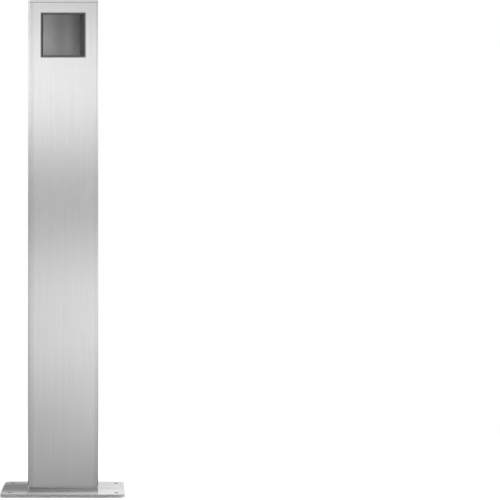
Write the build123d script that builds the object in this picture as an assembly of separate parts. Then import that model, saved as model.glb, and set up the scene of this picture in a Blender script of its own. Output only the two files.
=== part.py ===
from build123d import *
import os
from math import cos, hypot, pi, sin, sqrt

# Garden socket post: a stainless box column on an anchor plate, with a flush lidded socket near the top.
# The origin is the centre of the anchor plate's underside, +Z is up and the front faces -Y. Sizes in mm.

os.makedirs("parts", exist_ok=True)

# Whole post
post_height = 986
column_width = 140
column_depth = 60
sheet = 2
bend_radius = 3
overrun = 4

# Anchor plate and its cable entry
plate_width = 246
plate_depth = 110
plate_thickness = 6
plate_corner_radius = 10
plate_edge = 0.8
anchor_margin = 17
anchor_hole_diameter = 7
weld_leg = 3
entry_bore = 28
entry_wall = 4
entry_lip = 3
entry_lip_thickness = 2
entry_recess = 2.5
entry_round = 0.8

# Rear panel, its seals, screws and rivet nuts
return_width = 18
panel_inset = 1
panel_corner_radius = 2
seal_thickness = 1
seal_width = 13
panel_screw_rows = 4
panel_end_margin = 42
m4_radius = 2
m4_head_radius = 3.8
thread_gap = 0.05
screw_clearance = 0.2
panel_screw_length = 12
hex_key_radius = 1.3
hex_key_depth = 1.2
nut_wall = 1
nut_flange_radius = 4.6
nut_flange_thickness = 0.8
nut_bulge_radius = 4.3
nut_bulge_length = 2.6
nut_length = 11
nut_flange_gap = 0.6

# Top cap
cap_thickness = 4
cap_gap = 0.6
cap_edge = 0.8
cap_seal_inset = 0.8
spigot_gap = 0.7
spigot_wall = 2
spigot_depth = 15
cap_pad_width = 16
cap_screw_spacing = 76
cap_screw_length = 9

# Window and its welded collar
window_size = 90
window_margin = 25
window_corner_radius = 1
collar_sheet = 1.5
ledge_width = 5
pad_half = 5
frame_gasket_thickness = 1

# Moulded frame in the window
frame_fit = 0.3
frame_rim = 3
frame_edge = 0.4
frame_floor = 2
rib_wall = 1.3
rib_corner_radius = 3
m35_radius = 1.75
m35_head_radius = 3
frame_screw_length = 14
ring_screw_spacing = 60
ring_screw_length = 5

# Lid, its hinge and its seal
lid_thickness = 3
lid_gap = 0.4
lid_edge = 0.4
wrap_radius = 4
hinge_clearance = 0.5
barrel_radius = 2.4
barrel_relief = 0.3
pin_radius = 1
pin_gap = 0.05
end_knuckle = 11
frame_knuckle = 8
knuckle_gap = 0.3
mid_knuckle = 8
groove_width = 6
groove_depth = 1.7
groove_lip = 1.9
groove_end_margin = 2.5
lid_seal_width = 2.2
lid_seal_overhang = 0.4
seal_channel = 0.8
seal_stand = 0.65
seal_gap = 0.15
lid_recess_depth = 1
lid_recess_margin = 3
lid_recess_radius = 4
pin_end = 1.5

# Torsion spring on the hinge pin
spring_wire = 0.7
spring_radius = 1.75
spring_turns = 8
spring_tang = 2
spring_end_gap = 0.3
tang_hole_gap = 0.1

# Socket face
face_size = 64
face_corner_radius = 6
face_flange = 2
face_gap = 0.9
well_radius = 19.7
well_depth = 17.5
well_wall = 2
well_edge = 0.8
plug_pin_spacing = 19
pin_hole_radius = 2.75
guide_rib_width = 5
guide_rib_height = 2.3
guide_rib_drop = 5
face_screw_length = 12

# Earth bow
bow_width = 5
bow_sheet = 1
clip_reach = 1.9
clip_tip_drop = 7
clip_nose = 4
clip_gap = 0.3

# Socket base behind the face
ring_size = 70
ring_corner_cut = 8
ring_sheet = 1.2
ring_hole_gap = 1.3
base_size = 48
base_corner_radius = 4
base_depth = 29.8
cup_gap = 0.2
pocket_gap = 0.25
sleeve_bore = 2.5
sleeve_wall = 1
sleeve_length = 13
clamp_width = 6
clamp_length = 7
clamp_height = 9
clamp_from_side = 7
strap_sheet = 1.2
lead_radius = 1.4
lead_gap = 0.1
lead_depth = 5
m3_radius = 1.5
contact_screw_end = 0.6
earth_clamp_drop = 15

# Device box behind the collar
box_flange_thickness = 2
box_flange_margin = 1
box_wall = 2
box_size = 74
box_corner_radius = 6
box_depth = 42
boss_radius = 4
boss_length = 12

# Riser cable, its gland, clips and leads
cable_radius = 4.2
cable_from_side = 22
cable_from_front = 8
cable_low_end = 240
cable_bend_start = 130
cable_bend_end = 65
gland_x = -20
gland_from_back = 8.7
gland_bore_gap = 0.05
gland_wall = 2.8
gland_lip = 1.6
gland_lip_thickness = 1.6
gland_nose = 7
sheath_stand = 9
core_circle = 1.9
clip_count = 3
clip_from_end = 90
clip_from_bend = 50
clip_height = 10
clip_wall = 1.8
clip_pad_width = 20
clip_pad_height = 26
clip_pad_thickness = 2
clip_mouth = 6

# Supply terminals on their bracket
bracket_sheet = 1.5
bracket_width = 92
bracket_foot = 8
bracket_height = 70
bracket_stand = 14
bracket_bend = 2
terminal_z = 150
terminal_width = 54
terminal_height = 30
terminal_depth = 20
terminal_shoulder = 4
pole_pitch = 16
pole_from_bracket = 9
rod_width = 7
rod_length = 26
rod_bore = 2
tunnel_gap = 0.2
pole_screw_offset = 8
pole_screw_length = 7
block_screw_head_radius = 2.8
block_screw_head = 2
block_screw_sink = 8
block_screw_tip = 3
lead_entry = 9
lead_rise = 22

# Earth stud with its nut, washers, ring lug and bond lead
stud_radius = 3
stud_length = 13
stud_x = 37
washer_radius = 6.3
washer_thickness = 1.6
washer_gap = 0.2
nut_flats = 10
nut_height = 5
lug_sheet = 1
lug_radius = 5.5
lug_tail = 7
lug_barrel_radius = 2
lug_barrel_length = 8
bond_radius = 1.6
bond_drop = 42
bond_bend = 9

# Places worked out from the sizes
front = -column_depth / 2
back = column_depth / 2
front_inside = front + sheet
panel_inside = back - sheet
shell_back = panel_inside - seal_thickness
return_inside = shell_back - sheet
shell_top = post_height - cap_thickness - cap_gap
side_inside = column_width / 2 - sheet
return_edge = column_width / 2 - return_width
nut_x = column_width / 2 - return_width / 2 - panel_inset
window_z = post_height - window_margin - window_size / 2
anchor_spacing_x = plate_width - 2 * anchor_margin
anchor_spacing_y = plate_depth - 2 * anchor_margin

frame_half = window_size / 2 - frame_fit
pocket_half = frame_half - frame_rim
lid_half = pocket_half - lid_gap
pocket_depth = 2 * wrap_radius + hinge_clearance
floor_front = front + pocket_depth
floor_back = floor_front + frame_floor
ledge_front = floor_back + frame_gasket_thickness
ledge_back = ledge_front + collar_sheet
box_inside_front = ledge_back + box_flange_thickness
box_back = ledge_back + box_depth
rib_half = face_size / 2 + face_gap + rib_wall
corner_place = (rib_half + pocket_half) / 2
lid_back = front + lid_thickness
rib_front = lid_back + seal_stand + seal_gap
hinge_x = -lid_half + wrap_radius
hinge_y = front + wrap_radius

face_front = floor_front - face_flange
well_floor = face_front + well_depth
cup_back = well_floor + well_wall
cup_radius = well_radius + well_wall
ring_back = floor_back + ring_sheet
base_back = ring_back + base_depth
cavity_floor = cup_back + cup_gap
pin_x = plug_pin_spacing / 2
clamp_place = base_size / 2 - clamp_from_side

bracket_back = front_inside + bracket_stand
rod_y = bracket_back + pole_from_bracket
cable_x = cable_from_side - column_width / 2
cable_y = front_inside + cable_from_front
gland_y = box_back - box_wall - gland_from_back
box_low = window_z - box_size / 2
sheath_top = box_low + box_wall + sheath_stand
clip_first = cable_low_end + clip_from_end
clip_pitch = (sheath_top - cable_bend_start - clip_from_bend - clip_first) / (clip_count - 1)


# Planes that look to the front, to the back and along the two sides
def facing_front(y, x=0, z=0):
    return Plane(origin=(x, y, z), x_dir=(1, 0, 0), z_dir=(0, -1, 0))


def facing_back(y, x=0, z=0):
    return Plane(origin=(x, y, z), x_dir=(-1, 0, 0), z_dir=(0, 1, 0))


# A sketch seen from the front, made solid between two depths
def slab(sketch, near, far, x=0, z=window_z):
    return extrude(facing_front(far, x, z) * sketch, amount=far - near)


# A round bar between two depths
def bar_y(radius, near, far, x, z):
    return slab(Circle(radius), near, far, x, z)


# A sketch on the ground plane, made solid between two heights
def column(sketch, low, high):
    return extrude(Plane.XY.offset(low) * sketch, amount=high - low)


# A box between two corners
def block(x0, x1, y0, y1, z0, z1):
    middle = ((x0 + x1) / 2, (y0 + y1) / 2, (z0 + z1) / 2)
    return Pos(*middle) * Box(x1 - x0, y1 - y0, z1 - z0)


# A countersunk screw, its head's face on the plane and its shank below, with a hexagon key hole
def countersunk_screw(head_radius, radius, length):
    cone = head_radius - radius
    outline = Polyline((0, 0), (head_radius, 0), (radius, -cone), (radius, -length), (0, -length), close=True)
    screw = revolve(Plane.XZ * make_face(outline), Axis.Z)
    return screw - extrude(RegularPolygon(hex_key_radius, 6), amount=-hex_key_depth)


# The hole for that screw: clear round its shank, or tapped, and as deep as asked
def countersunk_hole(head_radius, radius, depth):
    cone = head_radius - radius
    outline = Polyline(
        (0, overrun), (head_radius, overrun), (head_radius, 0), (radius, -cone), (radius, -depth), (0, -depth),
        close=True,
    )
    return revolve(Plane.XZ * make_face(outline), Axis.Z)


# A round cable or lead along straight runs joined by arcs
def tube(points, radius, bends):
    path = FilletPolyline(*points, radius=bends)
    return sweep(Plane(origin=path @ 0, z_dir=path % 0) * Circle(radius), path=path)


def group(solids):
    return Compound(children=[solid for item in solids for solid in item.solids()])


# Places of the rear panel's screws and of the cap's two screws
def panel_screw_places():
    low = plate_thickness + panel_end_margin
    step = (shell_top - panel_end_margin - low) / (panel_screw_rows - 1)
    return [(side * nut_x, low + row * step) for row in range(panel_screw_rows) for side in (-1, 1)]


def cap_screw_places():
    z = shell_top - spigot_depth / 2
    return [(side * cap_screw_spacing / 2, z) for side in (-1, 1)]


def corner_places():
    return [(i * corner_place, window_z + j * corner_place) for i in (-1, 1) for j in (-1, 1)]


# Anchor plate: rounded corners, four holes, and a recess under the cable entry for the grommet's lip
def make_base_plate():
    outline = RectangleRounded(plate_width, plate_depth, plate_corner_radius)
    plate = column(outline, 0, plate_thickness)
    plate = chamfer(plate.edges().group_by(Axis.Z)[-1], plate_edge)
    entry_radius = entry_bore / 2 + entry_wall
    plate -= column(Circle(entry_radius), -overrun, plate_thickness + overrun)
    plate -= column(Circle(entry_radius + entry_lip + entry_round), -overrun, entry_recess)
    holes = GridLocations(anchor_spacing_x, anchor_spacing_y, 2, 2) * Circle(anchor_hole_diameter / 2)
    return plate - column(Sketch() + holes, -overrun, plate_thickness + overrun)


# Rubber grommet: one turned profile that grips the plate's edge from both sides
def make_cable_grommet():
    bore = entry_bore / 2
    neck = bore + entry_wall
    lip = neck + entry_lip
    low = entry_recess - entry_lip_thickness
    high = plate_thickness + entry_lip_thickness
    outline = Polyline(
        (bore, low), (lip, low), (lip, entry_recess), (neck, entry_recess), (neck, plate_thickness),
        (lip, plate_thickness), (lip, high - entry_round), (lip - entry_round, high), (bore, high), close=True,
    )
    return revolve(Plane.XZ * make_face(outline), Axis.Z)


# Column: front, sides and rear returns folded from one sheet, with the window cut in the front
def make_column_shell():
    depth = shell_back - front
    middle = (front + shell_back) / 2
    outer = Pos(0, middle) * RectangleRounded(column_width, depth, bend_radius)
    inner = Pos(0, middle) * RectangleRounded(2 * side_inside, depth - 2 * sheet, bend_radius - sheet)
    mouth = Pos(0, shell_back) * Rectangle(2 * return_edge, 2 * (sheet + overrun))
    shell = column(outer - inner - mouth, plate_thickness, shell_top)
    window = RectangleRounded(window_size, window_size, window_corner_radius)
    shell -= slab(window, front - overrun, front_inside + overrun)
    for x, z in panel_screw_places():
        shell -= bar_y(m4_radius + nut_wall, return_inside - overrun, shell_back + overrun, x, z)
    return shell


# Weld bead round the inside of the column's foot
def make_base_weld():
    depth = return_inside - front_inside
    middle = (front_inside + return_inside) / 2
    outer = Pos(0, middle) * RectangleRounded(2 * side_inside, depth, bend_radius - sheet)
    bead = column(outer, plate_thickness, plate_thickness + weld_leg)
    low = Pos(0, middle, plate_thickness) * Rectangle(2 * (side_inside - weld_leg), depth - 2 * weld_leg)
    bead -= extrude(low, amount=weld_leg, taper=-45)
    gap = block(
        -return_edge, return_edge, return_inside - weld_leg, return_inside, plate_thickness,
        plate_thickness + weld_leg,
    )
    return bead - gap


# Rear panel, lying on its two seals, with countersunk holes for its screws and for the cap's
def make_rear_panel():
    low = plate_thickness + panel_inset
    width = column_width - 2 * panel_inset
    outline = RectangleRounded(width, shell_top - low, panel_corner_radius)
    panel = slab(outline, panel_inside, back, z=(low + shell_top) / 2)
    for x, z in panel_screw_places() + cap_screw_places():
        hole = countersunk_hole(m4_head_radius, m4_radius + screw_clearance, sheet + overrun)
        panel -= facing_back(back, x, z) * hole
    return panel


def make_panel_seals():
    low = plate_thickness + panel_inset
    seals = []
    for side in (-1, 1):
        strip = slab(
            Rectangle(seal_width, shell_top - low), shell_back, panel_inside, side * nut_x, (low + shell_top) / 2
        )
        for x, z in panel_screw_places():
            strip -= bar_y(nut_flange_radius + nut_flange_gap, shell_back - overrun, back, x, z)
        seals.append(strip)
    return group(seals)


def make_rear_panel_screws():
    screw = countersunk_screw(m4_head_radius, m4_radius - thread_gap, panel_screw_length)
    return group([facing_back(back, x, z) * screw for x, z in panel_screw_places()])


# Rivet nuts pulled up in the returns: flange outside, bulge inside, threaded bore
def make_rivet_nuts():
    body = m4_radius + nut_wall
    bulge = -sheet - nut_bulge_length
    outline = Polyline(
        (m4_radius, nut_flange_thickness), (nut_flange_radius, nut_flange_thickness), (nut_flange_radius, 0),
        (body, 0), (body, -sheet), (nut_bulge_radius, -sheet), (nut_bulge_radius, bulge + nut_wall),
        (body, bulge), (body, -nut_length), (m4_radius, -nut_length), close=True,
    )
    nut = revolve(Plane.XZ * make_face(outline), Axis.Z)
    return group([facing_back(shell_back, x, z) * nut for x, z in panel_screw_places()])


# Top cap: a plate with an inner spigot, and pads that reach the rear panel at its two screws
def make_top_cap():
    outline = RectangleRounded(column_width, column_depth, bend_radius)
    plate = column(outline, post_height - cap_thickness, post_height)
    plate = fillet(plate.edges().group_by(Axis.Z)[-1], cap_edge)
    low = shell_top - spigot_depth
    high = post_height - cap_thickness
    near = front_inside + spigot_gap
    far = return_inside - spigot_gap
    width = 2 * (side_inside - spigot_gap)
    middle = Pos(0, (near + far) / 2)
    ring = middle * Rectangle(width, far - near)
    ring -= middle * Rectangle(width - 2 * spigot_wall, far - near - 2 * spigot_wall)
    cap = plate + column(ring, low, high)
    for x, z in cap_screw_places():
        pad = block(x - cap_pad_width / 2, x + cap_pad_width / 2, far - spigot_wall, panel_inside, low, shell_top)
        cap += pad
    for x, z in cap_screw_places():
        cap -= bar_y(m4_radius, far - spigot_wall - overrun, panel_inside + overrun, x, z)
    return cap


def make_cap_seal():
    width = column_width - 2 * cap_seal_inset
    depth = column_depth - 2 * cap_seal_inset
    ring = RectangleRounded(width, depth, bend_radius - cap_seal_inset)
    seal = column(ring, shell_top, post_height - cap_thickness)
    near = front_inside
    far = panel_inside
    hole = Pos(0, (near + far) / 2) * Rectangle(2 * side_inside, far - near)
    return seal - column(hole, shell_top - overrun, post_height)


def make_cap_screws():
    screw = countersunk_screw(m4_head_radius, m4_radius - thread_gap, cap_screw_length)
    return group([facing_back(back, x, z) * screw for x, z in cap_screw_places()])


# A square ring seen from the front, with a pad in each corner for a screw
def padded_ring(outer_half, inner_half, hole_radius):
    ring = RectangleRounded(2 * outer_half, 2 * outer_half, window_corner_radius)
    ring -= Rectangle(2 * inner_half, 2 * inner_half)
    for i in (-1, 1):
        for j in (-1, 1):
            ring += Pos(i * corner_place, j * corner_place) * Rectangle(2 * pad_half, 2 * pad_half)
    for i in (-1, 1):
        for j in (-1, 1):
            ring -= Pos(i * corner_place, j * corner_place) * Circle(hole_radius)
    return ring


# Collar welded behind the window: a square sleeve that ends in an inward ledge with corner pads
def make_window_collar():
    half = window_size / 2
    outer = RectangleRounded(2 * (half + collar_sheet), 2 * (half + collar_sheet), window_corner_radius + collar_sheet)
    inner = RectangleRounded(2 * half, 2 * half, window_corner_radius)
    sleeve = slab(outer - inner, front_inside, ledge_back)
    ledge = padded_ring(half, half - ledge_width, m35_radius + screw_clearance)
    return sleeve + slab(ledge, ledge_front, ledge_back)


def make_frame_gasket():
    ring = padded_ring(frame_half, frame_half - ledge_width, m35_radius + 2 * screw_clearance)
    return slab(ring, floor_back, ledge_front)


# Heights of the hinge's knuckles above the middle of the window, as pairs of low and high end
def frame_knuckles():
    outer = lid_half - end_knuckle - knuckle_gap
    inner = outer - frame_knuckle
    return [(-outer, -inner), (inner, outer)]


def lid_knuckles():
    inner = lid_half - end_knuckle
    return [(-lid_half, -inner), (-mid_knuckle / 2, mid_knuckle / 2), (inner, lid_half)]


# The upright hinge axis as a circle on the ground plane
def hinge_circle(radius):
    return Pos(hinge_x, hinge_y) * Circle(radius)


# Frame: a square tray with a sealing rib round the socket, and two knuckles for the lid's pin
def make_insert_frame():
    outer = RectangleRounded(2 * frame_half, 2 * frame_half, window_corner_radius)
    frame = slab(outer, front, floor_back)
    frame = chamfer(frame.faces().sort_by(Axis.Y)[0].edges(), frame_edge)
    frame -= slab(Rectangle(2 * pocket_half, 2 * pocket_half), front - overrun, floor_front)
    rib_inner = rib_half - rib_wall
    rib = RectangleRounded(2 * rib_half, 2 * rib_half, rib_corner_radius)
    rib -= RectangleRounded(2 * rib_inner, 2 * rib_inner, rib_corner_radius - rib_wall)
    frame += slab(rib, rib_front, floor_front)
    for low, high in frame_knuckles():
        web_end = -rib_half + rib_wall / 2
        web = Pos((hinge_x + web_end) / 2, (hinge_y + floor_front) / 2)
        web = web * Rectangle(web_end - hinge_x, floor_front - hinge_y)
        knuckle = column(web + hinge_circle(barrel_radius), window_z + low, window_z + high)
        frame += knuckle
    frame -= column(hinge_circle(pin_radius), window_z - pocket_half - pin_end, window_z + pocket_half + pin_end)
    tang = frame_knuckles()[1][0]
    frame -= column(tang_circle(), window_z + tang - overrun, window_z + tang + spring_tang + tang_hole_gap)
    frame -= slab(Circle(cup_radius + ring_hole_gap), floor_front - overrun, floor_back + overrun)
    for x, z in corner_places():
        hole = countersunk_hole(m35_head_radius, m35_radius + screw_clearance, frame_floor + overrun)
        frame -= facing_front(floor_front, x, z) * hole
    for side in (-1, 1):
        hole = countersunk_hole(m35_head_radius, m35_radius + screw_clearance, frame_floor + overrun)
        frame -= facing_front(floor_front, side * ring_screw_spacing / 2, window_z) * hole
    return frame


def make_frame_screws():
    screw = countersunk_screw(m35_head_radius, m35_radius - thread_gap, frame_screw_length)
    return group([facing_front(floor_front, x, z) * screw for x, z in corner_places()])


# Lid: a flat plate whose left edge wraps round the hinge, with a finger groove along its right edge
def make_cover_lid():
    plate = Pos((hinge_x + lid_half) / 2, (front + lid_back) / 2)
    plate = plate * Rectangle(lid_half - hinge_x, lid_thickness)
    quarter = Pos(hinge_x - wrap_radius / 2, hinge_y - wrap_radius / 2) * Rectangle(wrap_radius, wrap_radius)
    wrap = hinge_circle(wrap_radius) & quarter
    relief = hinge_circle(barrel_radius + barrel_relief)
    low, high = window_z - lid_half, window_z + lid_half
    lid = column(plate + wrap - relief, low, high)
    for start, end in lid_knuckles():
        skin = Pos(hinge_x + wrap_radius / 2, (front + lid_back) / 2) * Rectangle(wrap_radius, lid_thickness)
        lid += column(wrap + skin + hinge_circle(barrel_radius), window_z + start, window_z + end)
    lid -= column(hinge_circle(pin_radius + pin_gap), low - overrun, high + overrun)
    tang = mid_knuckle / 2
    lid -= column(tang_circle(), window_z + tang - spring_tang - tang_hole_gap, window_z + tang + overrun)
    groove_radius = (groove_width ** 2 / 4 + groove_depth ** 2) / (2 * groove_depth)
    groove_x = lid_half - groove_lip - groove_width / 2
    groove = Pos(groove_x, front + groove_depth - groove_radius) * Circle(groove_radius)
    lid -= column(groove, low + groove_end_margin, high - groove_end_margin)
    seal = seal_ring()
    lid -= slab(seal, lid_back - seal_channel, lid_back + overrun)
    inner = rib_half + lid_seal_overhang - lid_seal_width - lid_recess_margin
    recess = RectangleRounded(2 * inner, 2 * inner, lid_recess_radius)
    lid -= slab(recess, lid_back - lid_recess_depth, lid_back + overrun)
    edges = lid.edges().filter_by(GeomType.LINE).filter_by(lambda e: on_front_edge(e))
    return chamfer(edges, lid_edge)


# True for the straight edges along the lid's front face at its top, bottom and right
def on_front_edge(edge):
    middle = edge @ 0.5
    if abs(middle.Y - front) > thread_gap:
        return False
    at_end = abs(abs(middle.Z - window_z) - lid_half) < thread_gap
    return at_end or abs(middle.X - lid_half) < thread_gap


def seal_ring():
    outer = rib_half + lid_seal_overhang
    inner = outer - lid_seal_width
    ring = RectangleRounded(2 * outer, 2 * outer, rib_corner_radius)
    return ring - RectangleRounded(2 * inner, 2 * inner, rib_corner_radius - rib_wall)


def make_lid_seal():
    return slab(seal_ring(), lid_back - seal_channel, lid_back + seal_stand)


def make_hinge_pin():
    half = pocket_half + pin_end
    return column(hinge_circle(pin_radius), window_z - half, window_z + half)


# Where the spring's straight ends enter the two knuckles
def tang_circle():
    return Pos(hinge_x + spring_radius, hinge_y) * Circle(spring_wire / 2 + tang_hole_gap)


# Two arcs that leave one point and reach another along the given directions
def biarc(start, start_way, end, end_way):
    chord = end - start
    both = start_way + end_way
    a = 2 * (1 - start_way.dot(end_way))
    b = 2 * chord.dot(both)
    reach = (-b + sqrt(b * b + 4 * a * chord.dot(chord))) / (2 * a)
    first = start + start_way * reach
    second = end - end_way * reach
    joint = (first + second) / 2
    return [TangentArc(start, joint, tangent=start_way), TangentArc(joint, end, tangent=second - first)]


# Torsion spring: one coil round the pin, its straight ends held in a frame knuckle and a lid knuckle
def make_hinge_spring():
    low = window_z + mid_knuckle / 2 + spring_end_gap
    high = window_z + frame_knuckles()[1][0] - spring_end_gap
    rise = (high - low - spring_wire) / spring_turns
    slope = rise / (2 * pi * spring_radius)
    flat = 1 / hypot(1, slope)

    def point(turn):
        angle = 2 * pi * turn
        place = (hinge_x + spring_radius * cos(angle), hinge_y + spring_radius * sin(angle))
        return Vector(*place, low + spring_wire / 2 + rise * turn)

    def way(turn):
        angle = 2 * pi * turn
        return Vector(-sin(angle) * flat, cos(angle) * flat, slope * flat)

    path = []
    halves = 2 * spring_turns
    for i in range(halves):
        path += biarc(point(i / 2), way(i / 2), point((i + 1) / 2), way((i + 1) / 2))
    coil = sweep(Plane(origin=point(0), z_dir=way(0)) * Circle(spring_wire / 2), path=Wire(path))
    spots = [point(i / 12) for i in range(12 * spring_turns + 1)]
    gap = min((spots[i] - spots[j]).length for i in range(len(spots)) for j in range(i + 7)
              if j < i - 6) - spring_wire
    print("spring: least gap between turns", round(gap, 2))
    lower = column(tang_bar(), low - spring_end_gap - spring_tang, low + spring_wire / 2)
    upper = column(tang_bar(), high - spring_wire / 2, high + spring_end_gap + spring_tang)
    return coil + lower + upper


def tang_bar():
    return Pos(hinge_x + spring_radius, hinge_y) * Circle(spring_wire / 2)


# Socket face: a square flange and a round well with two pin holes, guide ribs and slots for the clips
def make_socket_face():
    flange = RectangleRounded(face_size, face_size, face_corner_radius)
    face = slab(flange, face_front, floor_front)
    face = chamfer(face.faces().sort_by(Axis.Y)[0].edges(), frame_edge)
    face += bar_y(cup_radius, face_front, cup_back, 0, window_z)
    well = bar_y(well_radius, face_front - overrun, well_floor, 0, window_z)
    mouth = Plane.XZ * make_face(Polyline(
        (0, 0), (well_radius + well_edge, 0), (well_radius, well_edge), (0, well_edge), close=True))
    face -= well
    face -= facing_front(face_front, 0, window_z) * (Rot(180, 0, 0) * revolve(mouth, Axis.Z))
    for side in (-1, 1):
        x = side * (well_radius - guide_rib_height / 2 + well_wall / 4)
        rib = Rectangle(guide_rib_height + well_wall / 2, guide_rib_width)
        face += slab(rib, face_front + guide_rib_drop, well_floor, x)
    slot_half = bow_width / 2 + clip_gap
    for side in (-1, 1):
        slot = Pos(0, side * (cup_radius - well_wall + bow_sheet)) * Rectangle(2 * slot_half, 2 * well_wall + bow_sheet)
        face -= slab(slot, cup_back - slot_length(), cup_back + overrun)
    for side in (-1, 1):
        face -= bar_y(pin_hole_radius, well_floor - overrun, cup_back + overrun, side * pin_x, window_z)
    hole = countersunk_hole(m35_head_radius, m35_radius + screw_clearance, well_wall + overrun)
    return face - facing_front(well_floor, 0, window_z) * hole


# How far the earth clip's slots run up the cup's wall from its back
def slot_length():
    return well_wall + clip_tip_drop + clip_nose + clip_gap


def make_face_screw():
    screw = countersunk_screw(m35_head_radius, m35_radius - thread_gap, face_screw_length)
    return facing_front(well_floor, 0, window_z) * screw


# Earth bow: one bent strip, its two noses reaching into the well, with a clamp for the earth lead
def make_earth_bow():
    leg = well_radius + well_wall / 2 - bow_sheet / 4
    rear = cavity_floor + bow_sheet / 2
    nose = well_floor - clip_tip_drop + clip_nose
    half = [(well_floor - clip_tip_drop - clip_nose, leg), (well_floor - clip_tip_drop, leg - clip_reach),
            (nose, leg), (rear, leg)]
    line = Polyline(half + [(y, -z) for y, z in reversed(half)])
    strip = Plane(origin=(-bow_width / 2, 0, window_z), x_dir=(0, 1, 0), z_dir=(1, 0, 0)) * trace(line, bow_sheet)
    bow = extrude(strip, amount=bow_width)
    z = window_z - earth_clamp_drop
    half_clamp = clamp_width / 2
    bow += block(-half_clamp, half_clamp, rear, rear + clamp_length, z - half_clamp, z + half_clamp)
    bow -= bar_y(m35_radius + screw_clearance, rear - overrun, rear + overrun, 0, window_z)
    bow -= bar_y(lead_radius + lead_gap, rear + clamp_length - lead_depth, rear + clamp_length + overrun, 0, z)
    middle = rear + clamp_length - lead_depth / 2
    bow -= Pos(0, middle, z - half_clamp) * Cylinder(m3_radius, clamp_width)
    return bow


# Support ring: a flat steel frame with cut corners behind the moulded frame
def make_support_ring():
    ring = chamfer(Rectangle(ring_size, ring_size).vertices(), ring_corner_cut)
    ring -= Circle(cup_radius + ring_hole_gap)
    for side in (-1, 1):
        ring -= Pos(side * ring_screw_spacing / 2, 0) * Circle(m35_radius)
    return slab(ring, floor_back, ring_back)


def make_ring_screws():
    screw = countersunk_screw(m35_head_radius, m35_radius - thread_gap, ring_screw_length)
    places = [side * ring_screw_spacing / 2 for side in (-1, 1)]
    return group([facing_front(floor_front, x, window_z) * screw for x in places])


# Depths of a contact: its front end and its clamp
def contact_depths():
    start = cavity_floor + pocket_gap
    rear = start + sleeve_length
    return start, rear - clamp_length, rear


# The shape of one contact grown by a gap: sleeve, strap and clamp, for the brass and for its pocket
def contact_form(side, gap, start):
    _, clamp_start, rear = contact_depths()
    x = side * clamp_place
    half = clamp_width / 2 + gap
    high = window_z + strap_sheet / 2 + gap
    low = window_z + strap_sheet / 2 - clamp_height - gap
    form = bar_y(sleeve_bore + sleeve_wall + gap, start, rear + gap, side * pin_x, window_z)
    near, far = sorted((side * pin_x, x))
    form += block(near, far, min(start + sleeve_length, clamp_start), rear + gap, high - strap_sheet - 2 * gap, high)
    return form + block(x - half, x + half, min(start + sleeve_length, clamp_start) - gap, rear + gap, low, high)


# Place of the lead in a contact's clamp
def contact_lead(side):
    return side * clamp_place, window_z - clamp_height / 2


def make_contact(side):
    start, clamp_start, rear = contact_depths()
    contact = contact_form(side, 0, start)
    contact -= bar_y(sleeve_bore, start - overrun, rear + overrun, side * pin_x, window_z)
    x, z = contact_lead(side)
    contact -= bar_y(lead_radius + lead_gap, rear - lead_depth, rear + overrun, x, z)
    return contact - contact_screw_bar(side, m3_radius)


# A bar on the axis of a contact's clamping screw, from the lead's place out to the base's side
def contact_screw_bar(side, radius, start=clamp_place, end=base_size / 2 + overrun):
    rear = contact_depths()[2]
    z = contact_lead(side)[1]
    plane = Plane(origin=(side * start, rear - lead_depth / 2, z), z_dir=(side, 0, 0))
    return extrude(plane * Circle(radius), amount=end - start)


def make_contact_screws():
    start = clamp_place + lead_radius + lead_gap
    end = base_size / 2 - contact_screw_end
    screws = [contact_screw_bar(side, m3_radius - thread_gap, start, end) for side in (-1, 1)]
    rear = cavity_floor + bow_sheet / 2 + clamp_length
    z = window_z - earth_clamp_drop - lead_radius - lead_gap
    low = window_z - end
    plane = Plane.XY.offset(low)
    place = Pos(0, rear - lead_depth / 2)
    screws.append(extrude(plane * place * Circle(m3_radius - thread_gap), amount=z - low))
    return group(screws)


# Socket base: a moulded block with a cavity for the cup, pockets for the brass and holes for the leads
def make_socket_base():
    base = slab(RectangleRounded(base_size, base_size, base_corner_radius), ring_back, base_back)
    base = chamfer(base.faces().sort_by(Axis.Y)[-1].edges(), frame_edge)
    base -= bar_y(cup_radius + cup_gap, ring_back - overrun, cavity_floor, 0, window_z)
    half = bow_width / 2 + pocket_gap
    reach = well_radius + well_wall
    channel_floor = cavity_floor + bow_sheet + pocket_gap
    base -= block(-half, half, cavity_floor - overrun, channel_floor, window_z - reach, window_z + reach)
    for side in (-1, 1):
        base -= contact_form(side, pocket_gap, cavity_floor)
        x, z = contact_lead(side)
        base -= bar_y(lead_radius + 2 * lead_gap, cavity_floor, base_back + overrun, x, z)
        base -= contact_screw_bar(side, m3_radius + screw_clearance)
    z = window_z - earth_clamp_drop
    half = clamp_width / 2 + pocket_gap
    rear = cavity_floor + bow_sheet / 2 + clamp_length
    base -= block(-half, half, cavity_floor, rear + pocket_gap, z - half, z + half)
    base -= bar_y(lead_radius + 2 * lead_gap, rear, base_back + overrun, 0, z)
    hole = Pos(0, rear - lead_depth / 2) * Circle(m3_radius + screw_clearance)
    base -= column(hole, window_z - base_size / 2 - overrun, z)
    return base - bar_y(m35_radius, cavity_floor, well_floor + face_screw_length + lead_gap, 0, window_z)


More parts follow.
